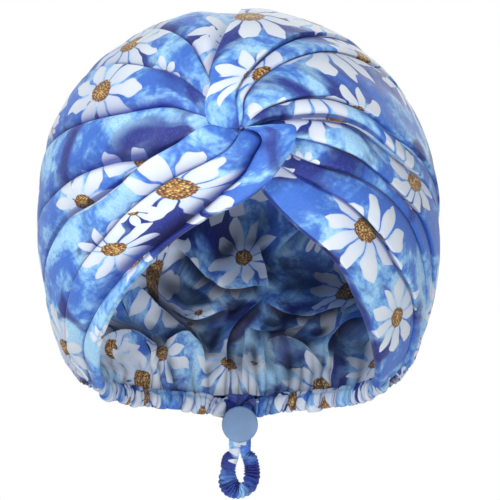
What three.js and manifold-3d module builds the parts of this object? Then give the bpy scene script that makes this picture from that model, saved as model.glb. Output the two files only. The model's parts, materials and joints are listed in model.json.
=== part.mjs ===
// Satin hair bonnet in the turban style: two wrapped cloth halves that twist round each other
// over the forehead, a full lining, a gathered nape casing, and an elastic that leaves the casing
// at the back as a loop with a sprung lock on it.
// Millimetres, +Z up, the face looks along -Y. The origin is the middle of the head opening,
// level with the front corners of the hem.
import * as THREE from 'three';
import { mergeVertices } from 'three/addons/utils/BufferGeometryUtils.js';
import loadManifold from 'manifold-3d';

// Head form under the cloth
const HALF_WIDTH = 110;
const FRONT_DEPTH = 108.5;
const BACK_DEPTH = 118.5;
const CROWN_HEIGHT = 117;
const LOWER_HEIGHT = 135;
const CENTRE_HEIGHT = 96;
const ROUNDNESS = 2.12;
const KNOT_ELEVATION = 23;

// Hem, which falls towards the nape
const HEM_TILT = 11.7;
const HEM_LEVEL_Y = -20;
const HEM_REACH_LEAST = 70;
const HEM_REACH_MOST = 165;
const HEM_FALL_MOST = 164;
const CASING_HEIGHT = 10;
const CASING_DEPTH = 6;
const CASING_INSET = 1.8;
const CASING_CORNER_TURN = 90;
const CASING_RIBS = 16;
const CASING_RIB_RISE = 0.7;
const CASING_CLOSED_SHARE = 0.03;
const EXIT_CLEARANCE = 0.4;

// Cloth
const CLOTH = 1.2;
const LAYER_GAP = 0.8;
const SEAM_GAP = 0.4;
const KNOT_LIFT = 5.2;
const LIFT_AT_EYE = 0.3;
const EYE_REACH = 6;
const LIFT_FROM = 22;
const LIFT_TO = 54;
const PUFF_SHARE = 0.2;
const PUFF_MOST = 4.6;
const PUFF_FROM = 16;
const PUFF_TO = 66;
const PUFF_LEFT = 0.2;
const COVERED_STAGE = 0.6;
const SHOWN_STAGE = 2;

// Lining
const LINING = 1.6;
const LINING_INSET = 3;
const LINING_FRONT_REACH = 18;
const LINING_FRONT_TURN = 158;
const CRUMPLE_DEPTH = 8;
const CRUMPLE_COUNT = 11;
const CRUMPLE_HEIGHT = 60;
const CRUMPLE_SLANT = 12;
const CRUMPLE_SIDE_FROM = -0.1;
const CRUMPLE_SIDE_TO = 0.5;

// Elastic, and the gathered sleeve on its loop
const ELASTIC = 3;
const ELASTIC_END_SHARE = 0.15;
const BORE_CLEARANCE = 0.4;
const SLEEVE_RIB_PITCH = 4.6;
const SLEEVE_RIB_RISE = 0.4;
const SLEEVE_WALL = 0.4;
const SLEEVE_DRAWN_LENGTH = 9;
const SLEEVE_FILL_LENGTH = 4;
const LEG_WIDTH = 6.4;
const LEG_DEPTH = 3.6;
const LEG_GAP = 0.4;
const LOOP_WIDTH = 8.8;
const LOOP_DEPTH = 5;
const LOOP_BELOW = 22.6;
const LOOP_SPREAD = 7.4;

// Sprung lock
const LOCK_TILT = 8;
const LOCK_FORWARD = 6;
const LOCK_NEST = 1.8;
const LOCK_TRAVEL = 5;
const BUTTON_DIAMETER = 21.5;
const BUTTON_THICKNESS = 2.6;
const BUTTON_EDGE = 0.9;
const BUTTON_STROKE = 2.2;
const BARREL_DIAMETER = 19.6;
const BARREL_FLOOR = 1.4;
const BARREL_RIM = 2.9;
const PLUNGER_RAIL = 1;
const PLUNGER_PLATE = 2.5;
const PLUNGER_SPAN = 6.6;
const SPRING_LENGTH = 4.4;
const SPRING_DIAMETER = 5.8;
const SPRING_WIRE = 0.7;
const SPRING_TURNS = 3;
const SPRING_STEPS = 8;
const SPRING_SIDES = 5;
const FIT = 0.3;

// Steps of the surfaces
const ROW_LENGTH = 26;
const STRIP_COLUMNS = 3;
const LINING_COLUMNS = 44;
const LINING_ROWS = 8;
const LINING_ROW_DRIFT = 1.5;
const RING_SIDES = 8;
const CASING_STATIONS = 9;
const LOOP_STATIONS = 32;
const LOOP_STATION_DRIFT = 0.6;
const ROUND_SIDES = 32;
const EDGE_STEPS = 3;
const HALVINGS = 40;
const MERGE_DISTANCE = 1e-4;

// Folds of the wraps. Each point is [reach, turn] in degrees: how far from the knot, and the
// direction from it, 0 up to the crown and 90 to the right of the picture. The last entry is
// [rise, turn] at the hem: 1 ends above the nape casing, 0 reaches down to the hem.
const RIGHT_OVER = [
  [[0.7, -80], [6, -87], [12.3, -34], [16.7, -21], [23.3, -9], [33.5, -1.5], [46, 0], [80, 0], [1, 0]],
  [[0.7, 5], [6.6, -7], [12, 2], [15.6, 9], [21.7, 16], [30.3, 22], [45, 27.5], [80, 24], [1, 16]],
  [[0.8, 30], [6, 9], [11.2, 13], [15.4, 19.6], [22, 27], [31.5, 32.5], [46.3, 37.5], [80, 38], [1, 31]],
  [[1, 55], [6.9, 49], [12.5, 52], [16, 54], [23.5, 58], [33, 63], [46, 65.5], [80, 56], [1, 45]],
  [[1.2, 76], [7.5, 66], [13.9, 68.4], [18, 68], [25, 67.5], [35, 69], [48, 71], [80, 62], [1, 55]],
];
const RIGHT_UNDER = [
  [[1.5, 58], [20, 61], [30, 61.5], [40, 64], [50, 64.5], [62, 59.5], [85, 55], [1, 50]],
  [[1.5, 70], [20, 69.5], [30, 69.5], [40, 72.5], [50, 72], [62, 67], [85, 62.5], [1, 57]],
  [[1.5, 95], [20, 87], [32.5, 84.3], [41.4, 84.2], [51.8, 82.5], [61, 79.4], [85, 73], [1, 65]],
  [[1.5, 115], [21, 104], [32, 95], [42, 89.5], [52, 86.8], [62, 84.5], [84, 80], [1, 74]],
  [[2, 138], [20, 120], [34, 107.5], [44, 103.8], [56.5, 100.2], [65, 98], [83, 89.5], [1, 84]],
  [[8, 165], [21, 151], [33, 139], [44, 128.5], [55, 122], [66, 118.7], [89, 109.6], [0, 97]],
];
const LEFT_OVER = [
  [
    [8.5, 83], [13.5, 84], [14.4, 105], [15.6, 134], [20, 171],
    [28, 204], [42, 226], [63, 240], [88, 252.5], [0, 266],
  ],
  [
    [2.5, 92], [6.6, 104], [8.4, 143], [13, 171], [19, 194],
    [29, 212.6], [43, 230], [60, 243], [85, 257], [0.3, 271],
  ],
  [
    [0.8, 170], [5, 190], [10, 212], [17, 229.4], [24, 238.7],
    [36, 246.5], [51, 253.3], [63, 259], [85, 268], [1, 280],
  ],
  [
    [0.7, 256], [6, 269], [12, 261.5], [17, 258.7], [26, 259.4],
    [37.6, 260.4], [49, 265.8], [62, 274], [84, 284], [1, 291],
  ],
];
const LEFT_UNDER = [
  [[1.5, -106], [15, -112], [24, -110], [34, -107], [46, -101], [60, -92], [84, -81], [1, -73]],
  [[1.5, -94], [15, -96], [24, -97.5], [34, -96], [46, -92.5], [60, -84], [84, -73.5], [1, -67]],
  [[1.5, -84], [15, -92], [24, -95.5], [34, -87.5], [46, -80.5], [60, -73.5], [84, -62], [1, -54]],
  [[1.5, -62], [13.5, -60], [22, -64], [30.7, -65.7], [42, -62.5], [55, -57], [78, -47], [1, -41]],
  [[1.8, -40], [16, -38], [23.4, -40.6], [31, -41.6], [43.5, -40], [57, -38], [80, -34], [1, -28]],
  [[2, -26], [16.3, -23], [27, -22.6], [35.7, -23], [44, -23.7], [55, -24.5], [78, -22], [1, -15]],
  [[2.4, -20], [16.5, -25], [23.3, -13], [33.5, -4.5], [46, -2.2], [60, -1.8], [80, -1.5], [1, -1.5]],
  [[2.4, -10], [16, -9], [23, -1], [31, 2], [40, -0.4], [58, -0.2], [80, -0.2], [1, -0.3]],
];

const wasm = await loadManifold();
wasm.setup();

const radians = THREE.MathUtils.degToRad;
const smooth = THREE.MathUtils.smoothstep;
const mix = THREE.MathUtils.lerp;

// A direction from the form's centre. Seen from above, the ball is opened out flat, and reach
// and turn are polar about the knot there, so that every turn runs on to the head opening.
function onBall(reach, turn) {
  const elevation = radians(KNOT_ELEVATION);
  const knotY = (-2 * Math.cos(elevation)) / (1 + Math.sin(elevation));
  const radius = (4 * Math.tan(radians(reach) / 2)) / (1 + Math.sin(elevation));
  const planX = radius * Math.sin(radians(turn));
  const planY = knotY + radius * Math.cos(radians(turn));
  return fromPlan(planX, planY);
}

function fromPlan(planX, planY) {
  const quarter = (planX * planX + planY * planY) / 4;
  return new THREE.Vector3(planX, planY, 1 - quarter).divideScalar(1 + quarter);
}

// The point of the head form in a direction, moved out along the form's normal.
function onForm(direction, lift) {
  const radii = new THREE.Vector3(
    HALF_WIDTH,
    direction.y < 0 ? FRONT_DEPTH : BACK_DEPTH,
    direction.z < 0 ? LOWER_HEIGHT : CROWN_HEIGHT,
  );
  const parts = direction.toArray();
  const sum = parts.reduce((total, part) => total + Math.abs(part) ** ROUNDNESS, 0);
  const unit = direction.clone().divideScalar(sum ** (1 / ROUNDNESS));
  const slope = (part) => Math.sign(part) * Math.abs(part) ** (ROUNDNESS - 1);
  const normal = new THREE.Vector3(slope(unit.x), slope(unit.y), slope(unit.z)).divide(radii).normalize();
  const point = unit.multiply(radii).addScaledVector(normal, lift);
  point.z += CENTRE_HEIGHT;
  return point;
}

function heightOverHem(point) {
  const tilt = radians(HEM_TILT);
  return point.z * Math.cos(tilt) + (point.y - HEM_LEVEL_Y) * Math.sin(tilt);
}

// The last value, from near to far, at which a test holds that holds at near and not at far.
function lastHeld(near, far, holds) {
  let low = near;
  let high = far;
  for (let halving = 0; halving < HALVINGS; halving += 1) {
    const middle = (low + high) / 2;
    if (holds(middle)) {
      low = middle;
    } else {
      high = middle;
    }
  }
  return low;
}

// How far from the knot a turn meets a line that runs at a height over the hem.
function hemReach(turn, height) {
  const isAbove = (reach) => heightOverHem(onForm(onBall(reach, turn), 0)) > height;
  return lastHeld(HEM_REACH_LEAST, HEM_REACH_MOST, isAbove);
}

const CLOTH_END = CASING_HEIGHT + SEAM_GAP;
const EXIT_HALF_WIDTH = BARREL_DIAMETER / 2 + EXIT_CLEARANCE;

// The wraps lie outside the lining by the gap and by what a flat facet cuts off the round form.
const WRAP_LIFT = LAYER_GAP + ROW_LENGTH ** 2 / (4 * HALF_WIDTH);

// A column between two folds: its [reach, turn] points, the last one on its hem line.
function columnBetween(foldA, foldB, share) {
  const points = foldA.map((point, index) => [
    mix(point[0], foldB[index][0], share),
    mix(point[1], foldB[index][1], share),
  ]);
  const [rise, turn] = points[points.length - 1];
  points[points.length - 1] = [hemReach(turn, rise * CLOTH_END), turn];
  return points;
}

// A smooth run through a column's points.
function along(points, stage) {
  const last = points.length - 1;
  const index = Math.min(Math.floor(stage), last - 1);
  const t = stage - index;
  const at = (place) => points[Math.min(Math.max(place, 0), last)];
  return [0, 1].map((axis) => {
    const start = at(index)[axis];
    const end = at(index + 1)[axis];
    const startSlope = (end - at(index - 1)[axis]) / 2;
    const endSlope = (at(index + 2)[axis] - start) / 2;
    const bend = 2 * (start - end) + startSlope + endSlope;
    const lean = 3 * (end - start) - 2 * startSlope - endSlope;
    return ((bend * t + lean) * t + startSlope) * t + start;
  });
}

// Stages of the rows: more of them where a stage is long.
function rowStages(folds) {
  const runs = folds.map((fold) => columnBetween(fold, fold, 0).map((point) => onForm(onBall(...point), 0)));
  const stages = [0];
  for (let stage = 1; stage < folds[0].length; stage += 1) {
    const longest = Math.max(...runs.map((run) => run[stage].distanceTo(run[stage - 1])));
    const steps = Math.ceil(longest / ROW_LENGTH);
    for (let step = 1; step <= steps; step += 1) {
      stages.push(stage - 1 + step / steps);
    }
  }
  return stages;
}

function geometryFrom(points, triangles) {
  const geometry = new THREE.BufferGeometry().setFromPoints(points);
  geometry.setIndex(triangles.flat());
  return geometry;
}

// A closed sheet between two grids of points, outer over inner. Rows run away from the knot.
function sheetBetween(outer, inner) {
  const rows = outer.length;
  const columns = outer[0].length;
  const points = [...outer.flat(), ...inner.flat()];
  const under = rows * columns;
  const triangles = [];
  const quad = (a, b, c, d) => triangles.push([a, b, c], [a, c, d]);
  for (let row = 0; row < rows - 1; row += 1) {
    for (let column = 0; column < columns - 1; column += 1) {
      const corner = row * columns + column;
      const next = corner + columns;
      quad(corner, corner + 1, next + 1, next);
      quad(under + corner, under + next, under + next + 1, under + corner + 1);
    }
    const first = row * columns;
    const last = first + columns - 1;
    quad(first, first + columns, under + first + columns, under + first);
    quad(last, under + last, under + last + columns, last + columns);
  }
  for (let column = 0; column < columns - 1; column += 1) {
    const end = (rows - 1) * columns + column;
    quad(column, under + column, under + column + 1, column + 1);
    quad(end, end + 1, under + end + 1, under + end);
  }
  return geometryFrom(points, triangles);
}

// One pass of a wrap. Between two folds the cloth swells, most of it near the knot. A pass that
// comes out from under the other one lies flat where it is covered: at its start, and in the
// strips at its tucked edges.
function wrapPass(folds, isOver, tuckedStrips) {
  const stages = rowStages(folds);
  const columns = [];
  for (let strip = 0; strip < folds.length - 1; strip += 1) {
    const steps = tuckedStrips.includes(strip) ? 1 : STRIP_COLUMNS;
    for (let step = 0; step < steps; step += 1) {
      columns.push({ strip, share: step / steps });
    }
  }
  columns.push({ strip: folds.length - 2, share: 1 });
  const edges = folds.map((fold) => columnBetween(fold, fold, 0));
  const runs = columns.map(({ strip, share }) => columnBetween(folds[strip], folds[strip + 1], share));
  const outer = [];
  const inner = [];
  stages.forEach((stage) => {
    const edgePoints = edges.map((edge) => onForm(onBall(...along(edge, stage)), 0));
    const outerRow = [];
    const innerRow = [];
    columns.forEach(({ strip, share }, index) => {
      const [reach, turn] = along(runs[index], stage);
      const direction = onBall(reach, turn);
      const width = edgePoints[strip].distanceTo(edgePoints[strip + 1]);
      const fade = mix(1, PUFF_LEFT, smooth(reach, PUFF_FROM, PUFF_TO));
      const shown = isOver ? 1 : smooth(stage, COVERED_STAGE, SHOWN_STAGE);
      const swell = Math.sqrt(Math.max(0, 4 * share * (1 - share)));
      const puff = Math.min(PUFF_SHARE * width, PUFF_MOST) * fade * shown * swell;
      const dip = mix(LIFT_AT_EYE, 1, smooth(reach, 0, EYE_REACH));
      const lift = isOver ? KNOT_LIFT * dip * (1 - smooth(reach, LIFT_FROM, LIFT_TO)) : 0;
      innerRow.push(onForm(direction, WRAP_LIFT + lift));
      outerRow.push(onForm(direction, WRAP_LIFT + lift + CLOTH + puff));
    });
    outer.push(outerRow);
    inner.push(innerRow);
  });
  return sheetBetween(outer, inner);
}

function solidOf(geometry) {
  const bare = geometry.clone();
  bare.deleteAttribute('normal');
  bare.deleteAttribute('uv');
  const merged = mergeVertices(bare, MERGE_DISTANCE);
  return new wasm.Manifold(new wasm.Mesh({
    numProp: 3,
    vertProperties: merged.getAttribute('position').array,
    triVerts: new Uint32Array(merged.index.array),
  }));
}

function geometryOf(solid) {
  const { vertProperties, triVerts } = solid.getMesh();
  const geometry = new THREE.BufferGeometry();
  geometry.setAttribute('position', new THREE.BufferAttribute(new Float32Array(vertProperties), 3));
  geometry.setIndex(new THREE.BufferAttribute(new Uint32Array(triVerts), 1));
  return geometry;
}

function wrap(overFolds, underFolds, tuckedStrips) {
  const over = solidOf(wrapPass(overFolds, true, []));
  const under = solidOf(wrapPass(underFolds, false, tuckedStrips));
  return geometryOf(over.add(under));
}

// Lining: a cup from the crown to the face opening and to the top of the nape casing
function planOf(direction) {
  return new THREE.Vector2(direction.x, direction.y).multiplyScalar(2 / (1 + direction.z));
}

function faceEdge() {
  const right = RIGHT_UNDER[RIGHT_UNDER.length - 1];
  const left = LEFT_OVER[0];
  const edge = [];
  const sample = (fold, keep) => {
    const points = columnBetween(fold, fold, 0);
    for (let stage = 0; stage <= points.length - 1; stage += 0.25) {
      const [reach, turn] = along(points, stage);
      if (keep(reach, turn)) {
        edge.push(planOf(onBall(reach, turn)));
      }
    }
  };
  sample(right, (reach) => reach > LINING_FRONT_REACH);
  edge.reverse();
  sample(left, (reach, turn) => turn > LINING_FRONT_TURN);
  return edge;
}

function liningEnd(edge, angle) {
  const ray = new THREE.Vector2(Math.sin(angle), Math.cos(angle));
  const isAbove = (radius) => heightOverHem(onForm(fromPlan(ray.x * radius, ray.y * radius), 0)) > CLOTH_END;
  let end = lastHeld(0, 2 * Math.tan(radians(HEM_FALL_MOST) / 2), isAbove);
  for (let index = 0; index < edge.length - 1; index += 1) {
    const sideA = ray.cross(edge[index]);
    const sideB = ray.cross(edge[index + 1]);
    if (sideA * sideB <= 0 && ray.dot(edge[index]) > 0) {
      const crossing = edge[index].clone().lerp(edge[index + 1], sideA / (sideA - sideB));
      end = Math.min(end, crossing.length());
    }
  }
  return 2 * Math.atan(end / 2);
}

function lining() {
  const edge = faceEdge();
  const inset = LINING_INSET / FRONT_DEPTH;
  const points = [onForm(new THREE.Vector3(0, 0, 1), 0), onForm(new THREE.Vector3(0, 0, 1), -LINING)];
  const triangles = [];
  const quad = (a, b, c, d) => triangles.push([a, b, c], [a, c, d]);
  for (let column = 0; column < LINING_COLUMNS; column += 1) {
    const angle = (2 * Math.PI * column) / LINING_COLUMNS;
    const isFace = Math.cos(angle) < 0;
    const end = liningEnd(edge, angle) - (isFace ? inset : 0);
    for (let row = 1; row <= LINING_ROWS; row += 1) {
      const fall = end * (1 - (1 - row / LINING_ROWS) ** LINING_ROW_DRIFT);
      const direction = new THREE.Vector3(
        Math.sin(fall) * Math.sin(angle),
        Math.sin(fall) * Math.cos(angle),
        Math.cos(fall),
      );
      const height = heightOverHem(onForm(direction, 0)) - CLOTH_END;
      const top = smooth(CRUMPLE_HEIGHT - height, 0, CRUMPLE_HEIGHT / 2);
      const low = top * smooth(height, 0, CRUMPLE_HEIGHT / 4);
      const wave = (1 + Math.cos(CRUMPLE_COUNT * angle + height / CRUMPLE_SLANT)) / 2;
      const back = smooth(Math.cos(angle), CRUMPLE_SIDE_FROM, CRUMPLE_SIDE_TO);
      points.push(onForm(direction, 0), onForm(direction, -LINING - CRUMPLE_DEPTH * low * wave * back));
    }
  }
  const at = (column, row, side) => {
    if (row === 0) {
      return side;
    }
    return 2 + 2 * ((column % LINING_COLUMNS) * LINING_ROWS + row - 1) + side;
  };
  for (let column = 0; column < LINING_COLUMNS; column += 1) {
    triangles.push([at(column, 0, 0), at(column, 1, 0), at(column + 1, 1, 0)].reverse());
    triangles.push([at(column, 0, 1), at(column, 1, 1), at(column + 1, 1, 1)]);
    for (let row = 1; row < LINING_ROWS; row += 1) {
      quad(at(column, row, 0), at(column + 1, row, 0), at(column + 1, row + 1, 0), at(column, row + 1, 0));
      quad(at(column, row, 1), at(column, row + 1, 1), at(column + 1, row + 1, 1), at(column + 1, row, 1));
    }
    const last = LINING_ROWS;
    quad(at(column, last, 0), at(column + 1, last, 0), at(column + 1, last, 1), at(column, last, 1));
  }
  return geometryFrom(points, triangles);
}

// Rings of points round a run of frames, and the tubes made of them
function ring(frame, halfWide, halfDeep) {
  return Array.from({ length: RING_SIDES }, (_, side) => {
    const angle = (2 * Math.PI * side) / RING_SIDES;
    return frame.point.clone()
      .addScaledVector(frame.wide, halfWide * Math.cos(angle))
      .addScaledVector(frame.deep, halfDeep * Math.sin(angle));
  });
}

function tubeFaces(rings, offset, isOutward) {
  const triangles = [];
  for (let index = 0; index < rings.length - 1; index += 1) {
    for (let side = 0; side < RING_SIDES; side += 1) {
      const a = offset + index * RING_SIDES + side;
      const b = offset + index * RING_SIDES + ((side + 1) % RING_SIDES);
      const c = b + RING_SIDES;
      const d = a + RING_SIDES;
      const faces = [[a, b, c], [a, c, d]];
      triangles.push(...(isOutward ? faces : faces.map((face) => face.reverse())));
    }
  }
  return triangles;
}

function capFaces(offset, isStart) {
  const triangles = [];
  for (let side = 1; side < RING_SIDES - 1; side += 1) {
    const face = [offset, offset + side, offset + side + 1];
    triangles.push(isStart ? face.reverse() : face);
  }
  return triangles;
}

function solidTube(rings) {
  const last = (rings.length - 1) * RING_SIDES;
  return geometryFrom(rings.flat(), [
    ...tubeFaces(rings, 0, true),
    ...capFaces(0, true),
    ...capFaces(last, false),
  ]);
}

// A tube with a bore. A blind bore starts inside the first outer ring.
function boredTube(outer, bore, isBlind) {
  const inside = outer.length * RING_SIDES;
  const outerEnd = inside - RING_SIDES;
  const boreEnd = inside + (bore.length - 1) * RING_SIDES;
  const triangles = [...tubeFaces(outer, 0, true), ...tubeFaces(bore, inside, false)];
  const rim = (outerStart, boreStart, isStart) => {
    for (let side = 0; side < RING_SIDES; side += 1) {
      const next = (side + 1) % RING_SIDES;
      const faces = [
        [outerStart + side, outerStart + next, boreStart + next],
        [outerStart + side, boreStart + next, boreStart + side],
      ];
      triangles.push(...(isStart ? faces.map((face) => face.reverse()) : faces));
    }
  };
  if (isBlind) {
    triangles.push(...capFaces(0, true), ...capFaces(inside, false));
  } else {
    rim(0, inside, true);
  }
  rim(outerEnd, boreEnd, false);
  return geometryFrom([...outer, ...bore].flat(), triangles);
}

// Casing: half of the nape hem, from a front corner to the exit at the middle
function hemPoint(turn, side) {
  const direction = onBall(hemReach(side * turn, CASING_HEIGHT / 2), side * turn);
  return onForm(direction, -CASING_INSET);
}

function casingFrame(turn, side) {
  const step = 0.5;
  const point = hemPoint(turn, side);
  const ahead = hemPoint(turn - step, side).sub(hemPoint(turn + step, side)).normalize();
  const tilt = radians(HEM_TILT);
  const upright = new THREE.Vector3(0, Math.sin(tilt), Math.cos(tilt));
  const deep = new THREE.Vector3().crossVectors(ahead, upright).normalize();
  return { point, wide: upright, deep, ahead };
}

const isOverExit = (turn) => hemPoint(turn, 1).x < EXIT_HALF_WIDTH;
const EXIT_TURN = lastHeld(0, CASING_CORNER_TURN / 2, isOverExit);
const casingTurn = (share) => mix(CASING_CORNER_TURN, EXIT_TURN, share);

function casing(side) {
  const outer = [];
  const halfTall = CASING_HEIGHT / 2 - CASING_RIB_RISE / 2;
  const halfDeep = CASING_DEPTH / 2 - CASING_RIB_RISE / 2;
  const rings = 2 * CASING_RIBS + 1;
  for (let index = 0; index < rings; index += 1) {
    const rise = index % 2 === 0 ? -CASING_RIB_RISE / 2 : CASING_RIB_RISE / 2;
    const frame = casingFrame(casingTurn(index / (rings - 1)), side);
    outer.push(ring(frame, halfTall + rise, halfDeep + rise));
  }
  const boreRadius = ELASTIC / 2 + BORE_CLEARANCE;
  const bore = casingStations(side).map((frame) => ring(frame, boreRadius, boreRadius));
  return boredTube(outer, bore, true);
}

// Places along the casing where its bore and the elastic have a ring, from the closed end on
function casingStations(side) {
  return Array.from({ length: CASING_STATIONS }, (_, index) => {
    const share = mix(CASING_CLOSED_SHARE, 1, index / (CASING_STATIONS - 1));
    return casingFrame(casingTurn(share), side);
  });
}

// Lock frame: X across, Y back through the lock, Z up along the legs of the loop
const nape = hemPoint(0, 1);
const lockFrame = new THREE.Group();
const LOCK_DROP = CASING_HEIGHT / 2 + BARREL_DIAMETER / 2 - LOCK_NEST;
lockFrame.position.set(0, nape.y - LOCK_FORWARD, nape.z - LOCK_DROP);
lockFrame.rotation.x = -radians(LOCK_TILT);
lockFrame.updateMatrixWorld(true);

const LEG_X = (LEG_WIDTH + LEG_GAP) / 2;
const STRAIGHT_TOP = BARREL_DIAMETER / 2 - 1;
const STRAIGHT_END = BARREL_DIAMETER / 2 + LOCK_TRAVEL + 1;
const LOOP_DROP = STRAIGHT_END + LOOP_BELOW;

// The loop's route: out of one casing end, down through the lock, round and back up
function loopCurve() {
  const half = [
    [LEG_X, STRAIGHT_TOP, 0],
    [LEG_X, 0, 0],
    [LEG_X, -STRAIGHT_END + 5, 0],
    [LEG_X, -STRAIGHT_END, 0],
    [LOOP_SPREAD * 0.86, -STRAIGHT_END - 5.5, 0.8],
    [LOOP_SPREAD, -LOOP_DROP + 7.5, 2.4],
    [LOOP_SPREAD * 0.7, -LOOP_DROP + 2, 3.8],
  ];
  const place = ([x, up, back], side) => lockFrame.localToWorld(new THREE.Vector3(side * x, back, up));
  const start = (side) => {
    const end = hemPoint(EXIT_TURN, side);
    const out = casingFrame(EXIT_TURN, side).ahead;
    return [end.clone().addScaledVector(out, SEAM_GAP), end.clone().addScaledVector(out, 3)];
  };
  const right = [...start(1), ...half.map((point) => place(point, 1))];
  const left = [...start(-1), ...half.map((point) => place(point, -1))];
  const bottom = place([0, -LOOP_DROP, 4.4], 1);
  return new THREE.CatmullRomCurve3([...right, bottom, ...left.reverse()], false, 'centripetal');
}

const loop = loopCurve();
const loopLength = loop.getLength();
const lockDeep = new THREE.Vector3(0, 1, 0).transformDirection(lockFrame.matrixWorld);

function loopFrame(share) {
  const point = loop.getPointAt(share);
  const ahead = loop.getTangentAt(share);
  const wide = new THREE.Vector3().crossVectors(lockDeep, ahead).normalize();
  const deep = new THREE.Vector3().crossVectors(ahead, wide).normalize();
  return { point, wide, deep };
}

// Half sizes of the sleeve: drawn in at the casing, flat through the lock, full round the bend
function sleeveHalf(share) {
  const fromEnd = Math.min(share, 1 - share) * loopLength;
  const up = lockFrame.worldToLocal(loop.getPointAt(share)).z;
  const drawn = smooth(fromEnd, 0, SLEEVE_DRAWN_LENGTH);
  const full = smooth(-up, STRAIGHT_END, STRAIGHT_END + SLEEVE_FILL_LENGTH);
  const boreHalf = ELASTIC / 2 + BORE_CLEARANCE + SLEEVE_WALL;
  return {
    wide: mix(mix(boreHalf, LEG_WIDTH / 2, drawn), LOOP_WIDTH / 2, full),
    deep: mix(mix(boreHalf, LEG_DEPTH / 2, drawn), LOOP_DEPTH / 2, full),
  };
}

function sleeve() {
  const ribs = Math.round(loopLength / SLEEVE_RIB_PITCH);
  const rings = 2 * ribs + 1;
  const outer = [];
  for (let index = 0; index < rings; index += 1) {
    const share = index / (rings - 1);
    const half = sleeveHalf(share);
    const sink = index % 2 === 0 ? SLEEVE_RIB_RISE : 0;
    outer.push(ring(loopFrame(share), half.wide - sink, half.deep - sink / 4));
  }
  const bore = ELASTIC / 2 + BORE_CLEARANCE / 2;
  const inner = loopStations().map((frame) => ring(frame, bore, bore));
  return boredTube(outer, inner, false);
}

// Places along the loop where its bore and the elastic have a ring, closer at the bends
function loopStations() {
  return Array.from({ length: LOOP_STATIONS }, (_, index) => {
    const even = index / (LOOP_STATIONS - 1);
    const drift = LOOP_STATION_DRIFT / (4 * Math.PI);
    return loopFrame(even - drift * Math.sin(4 * Math.PI * even));
  });
}

// The elastic's run in a casing. It ends a little short of the closed end of the bore.
function elasticRun(side) {
  const [closed, next, ...rest] = casingStations(side);
  const end = { ...next, point: closed.point.clone().lerp(next.point, ELASTIC_END_SHARE) };
  return [end, next, ...rest];
}

// One elastic: through the left casing, round the loop, through the right casing
function elastic() {
  const backwards = [...elasticRun(1), ...loopStations()].reverse();
  const turned = backwards.map((frame) => ({ ...frame, deep: frame.deep.clone().negate() }));
  const frames = [...elasticRun(-1), ...turned];
  return solidTube(frames.map((frame) => ring(frame, ELASTIC / 2, ELASTIC / 2)));
}

const group = new THREE.Group();

function addPiece(parent, name, geometry, color, roughness, metalness = 0) {
  const mesh = new THREE.Mesh(geometry, new THREE.MeshStandardMaterial({ color, roughness, metalness }));
  mesh.name = name;
  parent.add(mesh);
}

const SATIN = 0x6f92d6;
const SATIN_INSIDE = 0x5a78c4;
addPiece(group, 'right_wrap', wrap(RIGHT_OVER, RIGHT_UNDER, [0]), SATIN, 0.45);
addPiece(group, 'left_wrap', wrap(LEFT_OVER, LEFT_UNDER, [0, LEFT_UNDER.length - 2]), SATIN, 0.45);
addPiece(group, 'lining', lining(), SATIN_INSIDE, 0.5);
addPiece(group, 'nape_casing_left', casing(-1), SATIN, 0.5);
addPiece(group, 'nape_casing_right', casing(1), SATIN, 0.5);
addPiece(group, 'loop_sleeve', sleeve(), SATIN, 0.5);
addPiece(group, 'elastic', elastic(), 0xf2f2f0, 0.8);

// Sprung lock, in its own frame
const SLEEVE_CLEAR = LEG_DEPTH / 2 + FIT;
const WINDOW_HALF = LEG_X + LEG_WIDTH / 2 + FIT;
const WELL_HALF = WINDOW_HALF + PLUNGER_RAIL + FIT;
const BARREL_FRONT = -SLEEVE_CLEAR - BARREL_RIM;
const PLATE_FRONT = SLEEVE_CLEAR;
const PLATE_BACK = PLATE_FRONT + PLUNGER_PLATE;
const WELL_FLOOR = PLATE_BACK + SPRING_LENGTH + 2 * FIT;
const BARREL_BACK = WELL_FLOOR + BARREL_FLOOR;
const BUTTON_BACK = BARREL_FRONT - BUTTON_STROKE - FIT;

function block(halfX, fromY, toY, halfZ) {
  return new THREE.BoxGeometry(2 * halfX, toY - fromY, 2 * halfZ).translate(0, (fromY + toY) / 2, 0);
}

// A disc about the lock's Y axis with a rounded edge at its front and back
function roundedDisc(radius, fromY, toY, edge) {
  const profile = new THREE.Path();
  profile.moveTo(0, fromY);
  profile.lineTo(radius - edge, fromY);
  profile.absarc(radius - edge, fromY + edge, edge, -Math.PI / 2, 0, false);
  profile.lineTo(radius, toY - edge);
  profile.absarc(radius - edge, toY - edge, edge, 0, Math.PI / 2, false);
  profile.lineTo(0, toY);
  return new THREE.LatheGeometry(profile.getPoints(EDGE_STEPS), ROUND_SIDES);
}

function barrel() {
  const body = solidOf(roundedDisc(BARREL_DIAMETER / 2, BARREL_FRONT, BARREL_BACK, BUTTON_EDGE));
  const well = solidOf(block(WELL_HALF, BARREL_FRONT - 1, WELL_FLOOR, PLUNGER_SPAN / 2 + FIT));
  const windows = solidOf(block(WINDOW_HALF, -SLEEVE_CLEAR, PLATE_BACK, BARREL_DIAMETER));
  return geometryOf(body.subtract(well).subtract(windows));
}

function button() {
  const face = BUTTON_BACK - BUTTON_THICKNESS;
  const cap = solidOf(roundedDisc(BUTTON_DIAMETER / 2, face, BUTTON_BACK, BUTTON_EDGE));
  const outside = solidOf(block(WINDOW_HALF + PLUNGER_RAIL, BUTTON_BACK - 1, PLATE_BACK, PLUNGER_SPAN / 2));
  const inside = solidOf(block(WINDOW_HALF, BUTTON_BACK, PLATE_FRONT, PLUNGER_SPAN));
  return geometryOf(cap.add(outside.subtract(inside)));
}

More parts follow.
